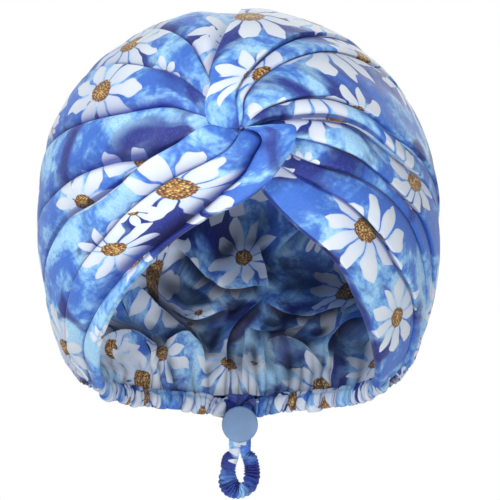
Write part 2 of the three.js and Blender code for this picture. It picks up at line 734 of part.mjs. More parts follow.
function spring() {
  const radius = (SPRING_DIAMETER - SPRING_WIRE) / 2;
  const steps = SPRING_STEPS * SPRING_TURNS;
  const start = PLATE_BACK + FIT + SPRING_WIRE / 2;
  const run = SPRING_LENGTH - SPRING_WIRE;
  const points = [];
  for (let step = 0; step <= steps; step += 1) {
    const angle = (2 * Math.PI * SPRING_TURNS * step) / steps;
    const out = new THREE.Vector3(Math.cos(angle), 0, Math.sin(angle));
    const centre = out.clone().multiplyScalar(radius).setY(start + (run * step) / steps);
    for (let side = 0; side < SPRING_SIDES; side += 1) {
      const turn = (2 * Math.PI * side) / SPRING_SIDES;
      const point = centre.clone().addScaledVector(out, (SPRING_WIRE / 2) * Math.cos(turn));
      point.y += (SPRING_WIRE / 2) * Math.sin(turn);
      points.push(point);
    }
  }
  const triangles = [];
  for (let step = 0; step < steps; step += 1) {
    for (let side = 0; side < SPRING_SIDES; side += 1) {
      const a = step * SPRING_SIDES + side;
      const b = step * SPRING_SIDES + ((side + 1) % SPRING_SIDES);
      triangles.push([a, b, b + SPRING_SIDES], [a, b + SPRING_SIDES, a + SPRING_SIDES]);
    }
  }
  for (let side = 1; side < SPRING_SIDES - 1; side += 1) {
    const end = steps * SPRING_SIDES;
    triangles.push([0, side + 1, side], [end, end + side, end + side + 1]);
  }
  return geometryFrom(points, triangles);
}

const PLASTIC = 0x7392ba;
addPiece(lockFrame, 'lock_barrel', barrel(), PLASTIC, 0.5);
addPiece(lockFrame, 'lock_button', button(), PLASTIC, 0.5);
addPiece(lockFrame, 'lock_spring', spring(), 0xb8bcc2, 0.35, 1);
group.add(lockFrame);

export default group;
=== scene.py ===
"""Satin hair bonnet in the turban style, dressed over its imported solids.

Lengths in the tables and functions are millimetres in the frame's own axes, +Z up and the face
towards -Y. The settings, the stage and the meshes are in metres.
"""

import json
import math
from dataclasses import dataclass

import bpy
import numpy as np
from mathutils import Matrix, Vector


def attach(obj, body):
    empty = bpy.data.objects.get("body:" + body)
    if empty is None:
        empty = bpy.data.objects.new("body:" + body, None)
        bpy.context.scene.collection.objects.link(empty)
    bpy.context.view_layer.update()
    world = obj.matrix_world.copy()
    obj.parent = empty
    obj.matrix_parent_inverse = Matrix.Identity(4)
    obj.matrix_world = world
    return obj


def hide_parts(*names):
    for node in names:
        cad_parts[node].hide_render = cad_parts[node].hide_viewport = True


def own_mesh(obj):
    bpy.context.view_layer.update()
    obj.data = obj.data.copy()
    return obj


bl_info = {
    "name": "Satin hair bonnet",
    "version": (1, 0, 0),
    "blender": (4, 5, 0),
    "location": "3D View > Sidebar > Bonnet",
    "description": "Builds a printed satin hair bonnet, the lock on its loop and a plain studio",
    "category": "Object",
}

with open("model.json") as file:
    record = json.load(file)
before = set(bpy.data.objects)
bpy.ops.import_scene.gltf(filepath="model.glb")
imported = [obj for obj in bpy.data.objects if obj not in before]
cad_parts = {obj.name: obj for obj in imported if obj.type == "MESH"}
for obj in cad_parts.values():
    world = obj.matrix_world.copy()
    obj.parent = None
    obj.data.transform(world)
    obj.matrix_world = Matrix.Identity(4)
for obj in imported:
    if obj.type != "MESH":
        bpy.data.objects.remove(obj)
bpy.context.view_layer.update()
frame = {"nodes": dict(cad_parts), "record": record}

MM = 0.001

# Distances in metres within which points of a mesh are one
WELD = 1e-6
SEAM_WELD = 1e-5

# Angles at which the shading breaks, in degrees
RIGID_SHARP = 50
CLOTH_SHARP = 82

# Head form under the cloth
HALF_WIDTH = 110
FRONT_DEPTH = 108.5
BACK_DEPTH = 118.5
CROWN_HEIGHT = 114
LOWER_HEIGHT = 135
CENTRE_HEIGHT = 96
ROUNDNESS = 2.12
KNOT_ELEVATION = 23

# Hem, which falls towards the nape
HEM_TILT = 11.7
HEM_LEVEL_Y = -20
HEM_REACH_LEAST = 70
HEM_REACH_MOST = 165
HEM_FALL_MOST = 164
CASING_HEIGHT = 10
CASING_INSET = 1.8
CASING_CORNER_TURN = 90
CLOTH_END = 10.4
HALVINGS = 40
CURVE_SAMPLES = 60
RIPPLE_WAVES = 7
RIPPLE_PACES = (0.6, 1.6)


@dataclass
class Waves:
    """Uneven waves: their height, their lengths along two coordinates, and the seed that draws them."""

    height: float
    first: float
    second: float
    seed: int

    def at(self, first, second, seed_step=0):
        """Heights of the waves at places. A step moves the seed on, for other waves of the same kind."""
        return self.height * ripple(first / self.first, second / self.second, self.seed + seed_step)


# Folds of the wraps. Each point is (reach, turn) in degrees: how far from the knot, and the
# direction from it, 0 up to the crown and 90 to the right of the picture. The last entry is
# (rise, turn) at the hem: 1 ends above the nape casing, 0 reaches down to the hem.
RIGHT_OVER = (
    ((0.2, -80), (6, -87), (12.3, -34), (16.7, -21), (23.3, -9), (33.5, -1.5), (46, 0), (80, 0), (1, 0)),
    ((0.2, 5), (6.6, -7), (12, 2), (15.6, 9), (21.7, 16), (30.3, 22), (45, 27.5), (80, 24), (1, 16)),
    ((0.2, 30), (6, 9), (11.2, 13), (15.4, 19.6), (22, 27), (31.5, 32.5), (46.3, 37.5), (80, 38), (1, 31)),
    ((0.2, 55), (6.9, 49), (12.5, 52), (16, 54), (23.5, 58), (33, 63), (46, 65.5), (80, 56), (1, 45)),
    ((0.2, 76), (7.5, 66), (13.9, 68.4), (18, 68), (25, 67.5), (35, 69), (48, 71), (80, 62), (1, 55)),
)
RIGHT_UNDER = (
    ((1.5, 58), (20, 61), (30, 61.5), (40, 64), (50, 64.5), (62, 59.5), (85, 55), (1, 50)),
    ((1.5, 70), (20, 69.5), (30, 69.5), (40, 72.5), (50, 72), (62, 67), (85, 62.5), (1, 57)),
    ((1.5, 95), (20, 87), (32.5, 84.3), (41.4, 84.2), (51.8, 82.5), (61, 79.4), (85, 73), (1, 65)),
    ((1.5, 115), (21, 104), (32, 95), (42, 89.5), (52, 86.8), (62, 84.5), (84, 80), (1, 74)),
    ((2, 138), (20, 120), (34, 107.5), (44, 103.8), (56.5, 100.2), (65, 98), (83, 89.5), (1, 84)),
    ((8, 165), (21, 151), (33, 139), (44, 128.5), (55, 122), (66, 118.7), (89, 109.6), (0, 97)),
)
LEFT_OVER = (
    (
        (8.5, 83), (13.5, 84), (14.4, 105), (15.6, 134), (20, 171),
        (28, 204), (42, 226), (63, 240), (88, 252.5), (0, 266),
    ),
    (
        (1.6, 92), (6.6, 104), (8.4, 143), (13, 171), (19, 194),
        (29, 212.6), (43, 230), (60, 243), (85, 257), (0.3, 271),
    ),
    (
        (0.2, 170), (5, 190), (10, 212), (17, 229.4), (24, 238.7),
        (36, 246.5), (51, 253.3), (63, 259), (85, 268), (1, 280),
    ),
    (
        (0.2, 256), (6, 269), (12, 261.5), (17, 258.7), (26, 259.4),
        (37.6, 260.4), (49, 265.8), (62, 274), (84, 284), (1, 291),
    ),
)
LEFT_UNDER = (
    ((1.5, -106), (15, -112), (24, -110), (34, -107), (46, -101), (60, -92), (84, -81), (1, -73)),
    ((1.5, -94), (15, -96), (24, -97.5), (34, -96), (46, -92.5), (60, -84), (84, -73.5), (1, -67)),
    ((1.5, -84), (15, -92), (24, -95.5), (34, -87.5), (46, -80.5), (60, -73.5), (84, -62), (1, -54)),
    ((1.5, -62), (13.5, -60), (22, -64), (30.7, -65.7), (42, -62.5), (55, -57), (78, -47), (1, -41)),
    ((1.8, -40), (16, -38), (23.4, -40.6), (31, -41.6), (43.5, -40), (57, -38), (80, -34), (1, -28)),
    ((2, -26), (16.3, -23), (27, -22.6), (35.7, -23), (44, -23.7), (55, -24.5), (78, -22), (1, -15)),
    ((2.4, -20), (16.5, -17), (23.3, -6.5), (33.5, 0.8), (46, 1.4), (60, 1.2), (80, 1), (1, 1)),
    ((2.4, -10), (16, -9), (23, 1), (31, 4), (40, 4), (58, 3.4), (80, 2.8), (1, 2.8)),
)

# How the bands between the folds lie, and how dark the shade painted beside the folds is
SURFACE_LIFT = 3.2
KNOT_LIFT = 5.2
LIFT_AT_EYE = 0.62
EYE_REACH = 5
# Shade painted round the eye of the knot, where the passes cross
EYE_DARK = 0.85
EYE_DARK_FROM = 0.5
EYE_DARK_TO = 2.8
LIFT_FROM = 22
LIFT_TO = 54
PUFF_SHARE = 0.2
PUFF_FROM = 24
PUFF_TO = 116
PUFF_LEFT = 0.32
COVERED_STAGE = 0.6
SHOWN_STAGE = 2
OVERHANG_SHARE = 0.18
NOSE_FROM = 0.5
NOSE_PLACE = 0.92
EDGE_ROUNDING = 1.9
RAMP_START = 4
RAMP_ROUND = 0.35
DIVE_LENGTH = 4.6
DIVE_POWER = 1.4
UNDER_FALL = (0.5, 0.97)
FULL_WIDTH = 8
CREASE_WIDTH = 1.15
TUCK_DROP = 1.3
TUCK_WIDTH = 4
TUCK_EXTRA = 1.2
# Shade painted beside the folds: a dark line on each fold, a shadow below an overhanging edge and under the
# edge of the other wrap, and along the valleys; less of it away from the knot
LINE_DARK = 0.8
LINE_WIDTH = 0.52
SHADOW_DARK = 0.36
SHADOW_LENGTH = 4.5
UNDER_DARK = 0.75
UNDER_TUCK = 2.4
DARK_ABOVE = 5
DARK_BELOW = 1.2
VALLEY_FADE_IN = 1
VALLEY_FADE_OUT = 2
PAINTED_SHADE_LEFT = 0.6
BAND_CREASES = Waves(0.45, 3, 26, 0)
BAND_CREASES_APART = 27
BAND_WAVES = Waves(0.55, 9, 24, 1)
BAND_WAVES_APART = 63
FIELD_STEPS = 8
COLUMN_STEP = 1.3
COLUMNS_LEAST = 9
COLUMNS_MOST = 36
COLUMNS_CROWDED = 0.6
PRINT_UNIT = 100
PRINT_MATCH_REACH = 92
PRINT_FULLNESS = 1.15

# Small gathers of the wraps over the nape casing
GATHER_SEED_STEP = 2
GATHER_RADIUS = 86
GATHER_WIDTH = 7.2
GATHER_DRIFT = Waves(0.45, 9, 40, 0)
GATHER_SHAKE = Waves(0.25, 14, 30, 1)
GATHER_SHARPNESS = 0.8
GATHER_RISE = 64
GATHER_FADE = 1.3
# Shade painted between the gathers
GATHER_DARK = 0.9
FINE_GATHER_PACE = 2.3
FINE_GATHER_PHASE = 1
FINE_GATHER_RISE = 24
FINE_GATHER_SHARE = 0.4
CASING_FADE = (76, 92)
SEWN_HEIGHT = 14
SEWN_LIFT = 0.45
SEWN_SWELL = 0.3

# Lining
FACE_EDGE_SAMPLES = 4
FACE_EDGE_REACH = 18
FACE_EDGE_TURN = 158
FACE_EDGE_INSET = 3
GORE_COLUMNS = (136, 72, 40, 72)
GORE_ROWS = 138
ROWS_CROWDED = 1.5
GORE_PRINT_STEP = 470
LINING_GAP = 1.1
LINING_FOLD_SCALE = 1.45
LINING_DEEPEST = 38
LINING_CRISP = 1.7
# Shade painted where the lining lies deeper than round about, and between its gathers near the hem
LINING_PAINTED_SHADE = 0.9
LINING_VALLEY_DARK = 1.0
LINING_NAPE = (10, 60)
LINING_SMOOTHING = 1.4
LINING_RADIUS = 90
LINING_LOOSE_TURN = (-0.7, 0.1)
LINING_LOOSE_HEIGHT = (110, 160)
LINING_WAVES = Waves(2.4, 17, 13, 23)
LINING_CREASES = Waves(0.9, 6, 5, 28)
LINING_UNEVEN_LEAST = -1.5
LINING_GATHER_WIDTH = 9.5
LINING_GATHER_DRIFT = Waves(0.9, 12, 24, 24)
LINING_GATHER_SHAKE = Waves(0.3, 9, 8, 29)
LINING_GATHER_HEIGHT = 4.4
LINING_GATHER_FADE = (2, 34)
LINING_VALLEY_RISE = 25
LINING_VALLEY_WAVES = Waves(11, 8, 1, 30)
LINING_HEM_FADE = (-1, 7)
FOLD_END_FADE = (-0.1, 0.25)
# How the painted shadow of a fold and its hidden print fade at the fold's ends
SHADE_END_FADE = (0, 0.2)
BREAK_END_FADE = (0, 0.45)
RIDGE_STEP = 4
RIDGE_WOBBLE_ACROSS = Waves(1.3, 14, 14, 26)
RIDGE_WOBBLE_UP = Waves(1.3, 15, 13, 27)
# Shadow painted below the ridge of a fold: its length, the height of a fold with the darkest shadow, and how
# sharply it starts at the ridge. The stretch and shift move the print hidden in a fold.
RIDGE_SHADOW = 8.5
RIDGE_DARK_HEIGHT = 12
RIDGE_EDGE = 0.06
RIDGE_STRETCH = 0.13
RIDGE_SHIFT = (0.08, -0.095, 0.0)
# Painted shade from how much deeper the lining lies than its blurred surroundings, broadly and finely
LINING_BLUR = 8
LINING_DARK_LEAST = 0.8
LINING_DARK_DEPTH = 4.6
LINING_FINE_BLUR = 3.4
LINING_FINE_LEAST = 0.35
LINING_FINE_DEPTH = 1.7

# Edges of the passes, outwards across the edge. A tucked edge goes down by a share of the lift, a
# bound edge goes round the face opening by millimetres. Neither goes far past its band.
EDGE_OUT_LIMITS = (-0.45, 0.3)
TUCKED_EDGE = ((0.6, -0.2), (0.5, -0.5), (-0.6, -0.8), (-2.6, -0.95), (-5.5, -1))
BOUND_EDGE = (
    (0.9, -0.7), (1.2, -1.9), (0.6, -3.4), (-1.4, -4.5), (-4.5, -5.1), (-8, -5.3), (-11, -5.3),
)

# Loop and lock. The lock's frame has X across, Y back through the lock and Z up the loop's legs
LOCK_PLACE = (0, 65.2528, -25.6402)
LOCK_TILT = 8
EXIT_HALF_WIDTH = 10.2
SEAM_GAP = 0.4
ELASTIC = 3
ELASTIC_SIDES = 12
ELASTIC_STEP = 1.2
ELASTIC_START = 0.06
ELASTIC_STATIONS = 90
LEG_X = 3.4
LEG_WIDTH = 6.4
LEG_DEPTH = 3.6
LOOP_WIDTH = 8.8
LOOP_DEPTH = 5
LOOP_SPREAD = 7.4
LOOP_STEP = 0.32
STRAIGHT_TOP = 8.8
STRAIGHT_END = 15.8
LOOP_DROP = 38.4
LOOP_HALF = (
    (LEG_X, 0, STRAIGHT_TOP),
    (LEG_X, 0, 0),
    (LEG_X, 0, -STRAIGHT_END + 5),
    (LEG_X, 0, -STRAIGHT_END),
    (LOOP_SPREAD * 0.86, 0.8, -STRAIGHT_END - 5.5),
    (LOOP_SPREAD, 2.4, -LOOP_DROP + 7.5),
    (LOOP_SPREAD * 0.7, 3.8, -LOOP_DROP + 2),
)
LOOP_BOTTOM = (0, 4.4, -LOOP_DROP)
EXIT_LEAD = 3
BUTTON_RADIUS = 10.75
BUTTON_FRONT = -10.1
BUTTON_BACK = -7.5
BARREL_RADIUS = 9.8
BARREL_FRONT = -5
BARREL_BACK = 11
WINDOW_HALF = 6.9
WINDOW_FRONT = -2.1
PLATE_FRONT = 2.1
PLATE_BACK = 4.6
SPRING_ROOM = 0.3
WELL_HALF = 8.2
WELL_FLOOR = 9.6
PLUNGER_HALF_SPAN = 3.3
PLUNGER_RAIL = 1
FIT = 0.3
BLOCK_OVERLAP = 1
ROUND_SIDES = 96
ROUNDING_STEPS = 5

# Gathered sleeve of the loop
SLEEVE_SIDES = 36
SLEEVE_ROOM = 0.8
SLEEVE_DRAWN = 9
SLEEVE_WIDENS = (STRAIGHT_END - 0.5, STRAIGHT_END + 5)
SLEEVE_EXTRA_WIDE = 0.6
SLEEVE_EXTRA_DEEP = 0.5
SLEEVE_SWELL = Waves(0.7, 4.5, 1, 35)
SLEEVE_LUMPS = Waves(1, 5, 1 / 1.4, 33)
SLEEVE_LUMP_LIMITS = (-1.3, 0.9)
SLEEVE_LUMP_HEIGHT = 0.9
SLEEVE_PRINT = (205, 40)
SLEEVE_FULLNESS = 2.2
RUCHE_FROM = (STRAIGHT_END, STRAIGHT_END + 3)
RUCHE_LEFT_LATER = 8
RUCHE_WIDTH = 1.9
RUCHE_DRIFT = Waves(1.5, 5, 1 / 1.1, 31)
RUCHE_TWIST = Waves(0.55, 9, 1 / 1.9, 32)
RUCHE_TWIST_ROUND = 17.1
RUCHE_SLANT = 0.35
RUCHE_DEPTHS = (0.3, 1.75)
RUCHE_MIDDLE = 0.8
RUCHE_EVEN = 0.72
RUCHE_UNEVEN = Waves(0.4, 3.4, 1 / 1.3, 34)
RUCHE_UNEVEN_ROUND = 3.4
# Shade painted in the valleys of the ruche, less on the flat legs, and where the sleeve goes into the casings
RUCHE_DARK = 0.75
RUCHE_DARK_BELOW = 0.6
LEG_DARK_SHARE = 0.2
EXIT_DARK = 0.88
EXIT_DARK_FADE = (7, 15)

# Cloth of the casings
CASING_LAST_TURN = -0.7
CASING_STATIONS = 420
CASING_SIDES = 36
CASING_HALF_WIDE = 5.6
CASING_HALF_DEEP = 2.9
CASING_FACING_HALF = 0.6
CASING_FACING_OUT = 2.7
CASING_DROOP = 3.2
CASING_FACING_DROOP = 0.6
CASING_TURN_STEP = 0.5
CASING_EXIT_EDGE = (-4, -0.5)
CASING_DROOP_FADE = (-4, 17)
CASING_FACING_APART = 0.7
CASING_FACING_WIDER = 0.6
CASING_FACING_PLEATS = 0.35
# Shade painted over the flat facing at the loop's exit
CASING_FACING_DARK = 0.92
CASING_CORNER_RUN = 4
CASING_CORNER_DROP = 1.4
CASING_LOW = (-1, 0.1)
CASING_LOW_WAVES = Waves(0.5, 6, 1 / 0.3, 45)
CASING_PRINT = (520, 640)
CASING_PRINT_APART = 300
CASING_FULLNESS = 2.3
CASING_SEAM_UP = 0.72
CASING_SEAM_WIDTH = 0.16
CASING_SEAM_DEPTH = 0.5
CASING_SEAM_FLAT = 0.55
# Share by which the painted shade is lessened along the sewn line
CASING_SEAM_LESS_SHADE = 0.4
PLEATS_MOST = 140
PLEAT_SEED = 60
PLEAT_LEAST = 1.9
PLEAT_SPREAD = 8.6
PLEAT_UNEVEN = 2.6
PLEAT_LEAN = Waves(2.2, 7, 1, 41)
PLEAT_SHAKE = Waves(0.5, 0.5, 9, 43)
PLEAT_SHAKE_ROUND = 18
PLEAT_HEIGHT = 2.5
PLEAT_TALL = (0.5, 1.2)
PLEAT_MIDDLE = 0.65
PLEAT_ROUNDING = 0.7
PLEAT_BACK = 0.5
PLEAT_DROP = 1.5
# Shade painted in the crease of each pleat and behind it
PLEAT_CREASE = 0.75
PLEAT_BACK_DARK = 0.5
PLEAT_BACK_SHADE = 0.8


def srgb(code):
    """Linear colour with full alpha from a hexadecimal screen colour."""
    parts = [(code >> shift & 255) / 255 for shift in (16, 8, 0)]
    linear = [part / 12.92 if part <= 0.04045 else ((part + 0.055) / 1.055) ** 2.4 for part in parts]
    return (*linear, 1.0)


def colour_property(name, description, code):
    """A colour setting with its default given as a screen colour."""
    return bpy.props.FloatVectorProperty(
        name=name, description=description, subtype="COLOR", size=4, min=0, max=1, default=srgb(code)
    )


def length_property(name, description, default):
    """A length setting in metres."""
    return bpy.props.FloatProperty(
        name=name, description=description, default=default, min=0, unit="LENGTH", precision=5
    )


def power_property(name, description, default):
    """A setting for the strength of a light."""
    return bpy.props.FloatProperty(name=name, description=description, default=default, min=0)


class BonnetClothSettings(bpy.types.PropertyGroup):
    """Sizes of the satin and of its folds."""

    thickness: length_property("Cloth thickness", "Thickness of one layer of satin", 0.0005)
    fold_height: length_property("Fold height", "Most that a band of cloth swells over its folds", 0.0044)
    fold_overhang: length_property("Fold overhang", "Most that a band hangs over the next one", 0.0038)
    crease_depth: length_property("Crease depth", "How deep a crease goes between two bands", 0.0019)
    gather_height: length_property("Gather height", "Height of the small gathers over the hem", 0.0036)
    row_step: length_property("Row step", "Distance between the rows of a sheet", 0.0021)


class BonnetPrintSettings(bpy.types.PropertyGroup):
    """Colours and sizes of the printed satin."""

    ground_light: colour_property("Light ground", "Palest blue of the wash", 0xABDBF9)
    ground_middle: colour_property("Middle ground", "Main blue of the wash", 0x76B2EC)
    ground_royal: colour_property("Royal ground", "Strong blue of the wash", 0x3D70CC)
    ground_deep: colour_property("Deep ground", "Darkest indigo of the wash", 0x18287F)
    petal: colour_property("Petal", "White of the petals", 0xDFE7F1)
    petal_shade: colour_property("Petal shade", "Pale blue in the petals", 0xB9CDEB)
    # Colours that the print is multiplied by for the shade painted into its creases, on the outer satin and
    # on the lining
    hollow: colour_property("Hollow", "What the print is darkened by in the deepest creases", 0x2A3E9E)
    painted_shade_inside: colour_property(
        "Hollow of the lining", "What the lining is darkened by in its creases", 0x27304A
    )
    centre: colour_property("Flower centre", "Ochre of the flower centres", 0xB07C3C)
    centre_light: colour_property("Light of the centre", "Pale yellow of some dots of a centre", 0xE0C67A)
    centre_dark: colour_property("Dark of the centre", "Brown between the dots of a centre", 0x5B3620)
    blossom_cell: length_property("Blossom spacing", "Spacing of the large blossoms", 0.074)
    bud_cell: length_property("Bud spacing", "Spacing of the small blossoms", 0.04)


class BonnetLockSettings(bpy.types.PropertyGroup):
    """Look of the lock on the loop."""

    plastic: colour_property("Plastic", "Colour of the moulded lock", 0x7897C0)
    rounding: length_property("Edge rounding", "Radius of the rounded edges of the lock", 0.0009)


class BonnetStageSettings(bpy.types.PropertyGroup):
    """Light and floor of the studio."""

    key_power: power_property("Key light", "Power of the key light", 13.8)
    fill_power: power_property("Fill light", "Power of the fill light", 9.2)
    ambient: power_property("Ambient", "Light from all round", 0.2)
    floor_height: bpy.props.FloatProperty(
        name="Floor height", description="Height of the floor", default=-0.3, unit="LENGTH"
    )


# Shapes worked out from the form


def smooth(value, low, high):
    """Soft step from 0 at low to 1 at high."""
    share = np.clip((np.asarray(value, dtype=float) - low) / (high - low), 0, 1)
    return share * share * (3 - 2 * share)


def mix(start, end, share):
    return start + (end - start) * share


def lengths(vectors):
    return np.linalg.norm(vectors, axis=-1)


def unit(vectors):
    return vectors / np.linalg.norm(vectors, axis=-1, keepdims=True)


def run_along(points):
    """Distances along lines of points, from 0 at the first point of each."""
    steps = lengths(np.diff(points, axis=0))
    return np.concatenate((np.zeros_like(steps[:1]), np.cumsum(steps, axis=0)))


def from_plan(plan_x, plan_y):
    """Directions from points of the ball opened out flat, as seen from above."""
    quarter = (plan_x * plan_x + plan_y * plan_y) / 4
    return np.stack((plan_x, plan_y, 1 - quarter), axis=-1) / (1 + quarter)[..., None]


def on_ball(reach, turn):
    """Directions from the form's centre, polar about the knot."""
    elevation = math.radians(KNOT_ELEVATION)
    knot_y = -2 * math.cos(elevation) / (1 + math.sin(elevation))
    radius = 4 * np.tan(np.radians(reach) / 2) / (1 + math.sin(elevation))
    angle = np.radians(turn)
    return from_plan(radius * np.sin(angle), knot_y + radius * np.cos(angle))


def on_form(direction, lift=0.0):
    """Points of the head form in the directions, moved out along its normals."""
    radii = np.stack(
        (
            np.full(direction.shape[:-1], float(HALF_WIDTH)),
            np.where(direction[..., 1] < 0, FRONT_DEPTH, BACK_DEPTH),
            np.where(direction[..., 2] < 0, LOWER_HEIGHT, CROWN_HEIGHT),
        ),
        axis=-1,
    )
    size = (np.abs(direction) ** ROUNDNESS).sum(axis=-1, keepdims=True) ** (1 / ROUNDNESS)
    place = direction / size
    normal = unit(np.sign(place) * np.abs(place) ** (ROUNDNESS - 1) / radii)
    point = place * radii + normal * np.asarray(lift)[..., None]
    point[..., 2] += CENTRE_HEIGHT
    return point


def height_over_hem(point):
    tilt = math.radians(HEM_TILT)
    return point[..., 2] * math.cos(tilt) + (point[..., 1] - HEM_LEVEL_Y) * math.sin(tilt)


def last_held(near, far, holds):
    """Last values, from near to far, at which a test holds."""
    low = np.array(near, dtype=float)
    high = np.array(far, dtype=float)
    for _ in range(HALVINGS):
        middle = (low + high) / 2
        held = holds(middle)
        low = np.where(held, middle, low)
        high = np.where(held, high, middle)
    return low


def hem_reach(turn, height):
    """How far from the knot the turns meet lines at the heights over the hem."""
    turn = np.asarray(turn, dtype=float)
    start = np.full(turn.shape, float(HEM_REACH_LEAST))
    end = np.full(turn.shape, float(HEM_REACH_MOST))

    def is_above(reach):
        return height_over_hem(on_form(on_ball(reach, turn))) > height

    return last_held(start, end, is_above)


def ripple(first, second, seed):
    """Smooth uneven waves of about unit height over two coordinates."""
    chance = np.random.default_rng(seed)
    total = np.zeros(np.broadcast(first, second).shape)
    for _ in range(RIPPLE_WAVES):
        angle = chance.uniform(0, 2 * math.pi)
        pace = chance.uniform(*RIPPLE_PACES)
        phase = chance.uniform(0, 2 * math.pi)
        total += np.sin(pace * (first * math.cos(angle) + second * math.sin(angle)) + phase)
    return total / math.sqrt(RIPPLE_WAVES)


def gathered(place, pace=1, phase=0):
    """Round ridges with sharp valleys between them, from 0 to 1, one for each whole place."""
    return np.abs(np.sin(pace * math.pi * place + phase)) ** GATHER_SHARPNESS


def fold_runs(folds):
    """Control points of columns spread between the folds, ended on their hem lines."""
    table = np.array(folds, dtype=float)
    columns = np.linspace(0, len(folds) - 1, (len(folds) - 1) * FIELD_STEPS + 1)
    strip = np.minimum(columns.astype(int), len(folds) - 2)
    runs = mix(table[strip], table[strip + 1], (columns - strip)[:, None, None])
    runs[:, -1, 0] = hem_reach(runs[:, -1, 1], runs[:, -1, 0] * CLOTH_END)
    return runs


def along(runs, stages):
    """Smooth runs through the control points: rows of (reach, turn) for each column."""
    last = runs.shape[1] - 1
    index = np.minimum(stages.astype(int), last - 1)
    share = (stages - index)[:, None, None]

    def at(place):
        return runs[:, np.clip(place, 0, last)].transpose(1, 0, 2)

    start = at(index)
    end = at(index + 1)
    start_slope = (end - at(index - 1)) / 2
    end_slope = (at(index + 2) - start) / 2
    bend = 2 * (start - end) + start_slope + end_slope
    lean = 3 * (end - start) - 2 * start_slope - end_slope
    return ((bend * share + lean) * share + start_slope) * share + start


def row_stages(runs, step):
    """Stages of the rows, about a step apart."""
    places = on_form(on_ball(runs[..., 0], runs[..., 1]))
    longest = lengths(np.diff(places, axis=1)).max(axis=0)
    stages = [np.zeros(1)]
    for stage, length in enumerate(longest):
        count = math.ceil(length / step)
        stages.append(stage + np.arange(1, count + 1) / count)
    return np.concatenate(stages)


def in_field(field, position):
    """(reach, turn) at positions counted in folds. Positions may lie a little past the edges."""
    most = field.shape[1] - 1
    place = position * FIELD_STEPS
    low = np.clip(np.floor(place), 0, most - 1).astype(int)
    share = (place - low)[..., None]
    start = np.take_along_axis(field, low[..., None], axis=1)
    end = np.take_along_axis(field, low[..., None] + 1, axis=1)
    return mix(start, end, share)


def rounded_edge(away):
    """Height near an edge, from 0 on it to 1 inside it."""
    share = np.clip(away / EDGE_ROUNDING, 0, 1)
    return np.sqrt(share * (2 - share))


def band_height(low, high, width, nose):
    """Height of a band from 0 to 1, from its distances to its first and last folds."""
    if nose == "flat":
        return np.zeros_like(low)
    if nose == "both":
        return rounded_edge(low) * rounded_edge(high)
    share = low / np.maximum(width, 1)
    if nose == "ramp":
        return mix(share, 1 - np.exp(-low / RAMP_START), RAMP_ROUND) * rounded_edge(high)
    dive = 1 - np.exp(-((low / DIVE_LENGTH) ** DIVE_POWER))
    if nose == "under":
        return dive * (1 - smooth(share, *UNDER_FALL))
    return dive * rounded_edge(high)


def nose_bulge(share):
    """How far a band hangs out over its last fold, 1 at most."""
    return smooth(share, NOSE_FROM, NOSE_PLACE) * (1 - smooth(share, NOSE_PLACE, 1))


@dataclass
class Valley:
    """A soft valley along a fold, between two of the fold's points: sunk by its depth, with shade painted
    along it by its dark share.
    """

    fold: int
    depth: float
    dark: float
    half_width: float
    start: float
    end: float


@dataclass
class WrapPass:
    """One pass of a wrap: its folds, the steep side of each band, and what its edges do."""

    folds: tuple
    is_over: bool
    noses: tuple
    first_edge: str
    last_edge: str
    print_place: tuple
    seed: int
    valleys: tuple = ()
    swell: float = 1


WRAP_PASSES = {
    "right_wrap": (
        WrapPass(
            RIGHT_OVER, True, ("both", "ramp", "ramp", "ramp"), "tucked", "tucked", (120, 20), 3, swell=0.5,
        ),
        WrapPass(
            RIGHT_UNDER, False, ("flat", "ramp", "ramp", "ramp", "ramp"), "bare", "bound", (431, 97), 5,
            swell=0.8,
        ),
    ),
    "left_wrap": (
        WrapPass(
            LEFT_OVER, True, ("both", "dive", "ramp"), "bound", "tucked", (940, 300), 7,
            (Valley(1, 4.2, 0.95, 4.5, 0.4, 6.5), Valley(2, 1.5, 0.5, 3, 1.5, 6)),
        ),
        WrapPass(
            LEFT_UNDER, False, ("flat", "dive", "dive", "dive", "dive", "under", "flat"), "bare", "bare",
            (1309, 173), 11, (Valley(2, 1.4, 0.9, 3, 1.2, 4.6), Valley(3, 1.4, 0.95, 3, 0.8, 5)), 0.85,
        ),
    ),
}


def hem_gathers(point, turn, seed):
    """Small gathers over the nape casing: shares of their height, and the shade painted between them."""
    height = height_over_hem(point) - CLOTH_END
    around = np.arctan2(point[..., 0], point[..., 1] - HEM_LEVEL_Y) * GATHER_RADIUS
    place = around / GATHER_WIDTH + GATHER_DRIFT.at(around, height, seed)
    place = place + GATHER_SHAKE.at(height, around, seed)
    ridge = gathered(place)
    fine = gathered(place, FINE_GATHER_PACE, FINE_GATHER_PHASE)
    fade = (1 - smooth(height, 0, GATHER_RISE)) ** GATHER_FADE
    fine_fade = (1 - smooth(height, 0, FINE_GATHER_RISE)) ** GATHER_FADE
    casing = 1 - smooth(np.abs((turn + 180) % 360 - 180), *CASING_FADE)
    # Painted shade between the gathers
    hollow = GATHER_DARK * np.maximum((1 - ridge) * fade, (1 - fine) * fine_fade) * casing
    return (ridge * fade + FINE_GATHER_SHARE * fine * fine_fade) * casing, hollow


@dataclass
class Bands:
    """Columns of a pass: their band, the share across it and the side that is steep. Then for each row:
    the band's width, the distances to its first and last folds, how far it hangs over the next band, and
    what is left of its form and of the shade painted on it."""

    strip: np.ndarray
    share: np.ndarray
    noses: np.ndarray
    width: np.ndarray
    low: np.ndarray
    high: np.ndarray
    overhang: np.ndarray
    form_left: np.ndarray
    shade_left: np.ndarray

    @property
    def place(self):
        """Places of the columns, counted in folds."""
        return self.strip + self.share


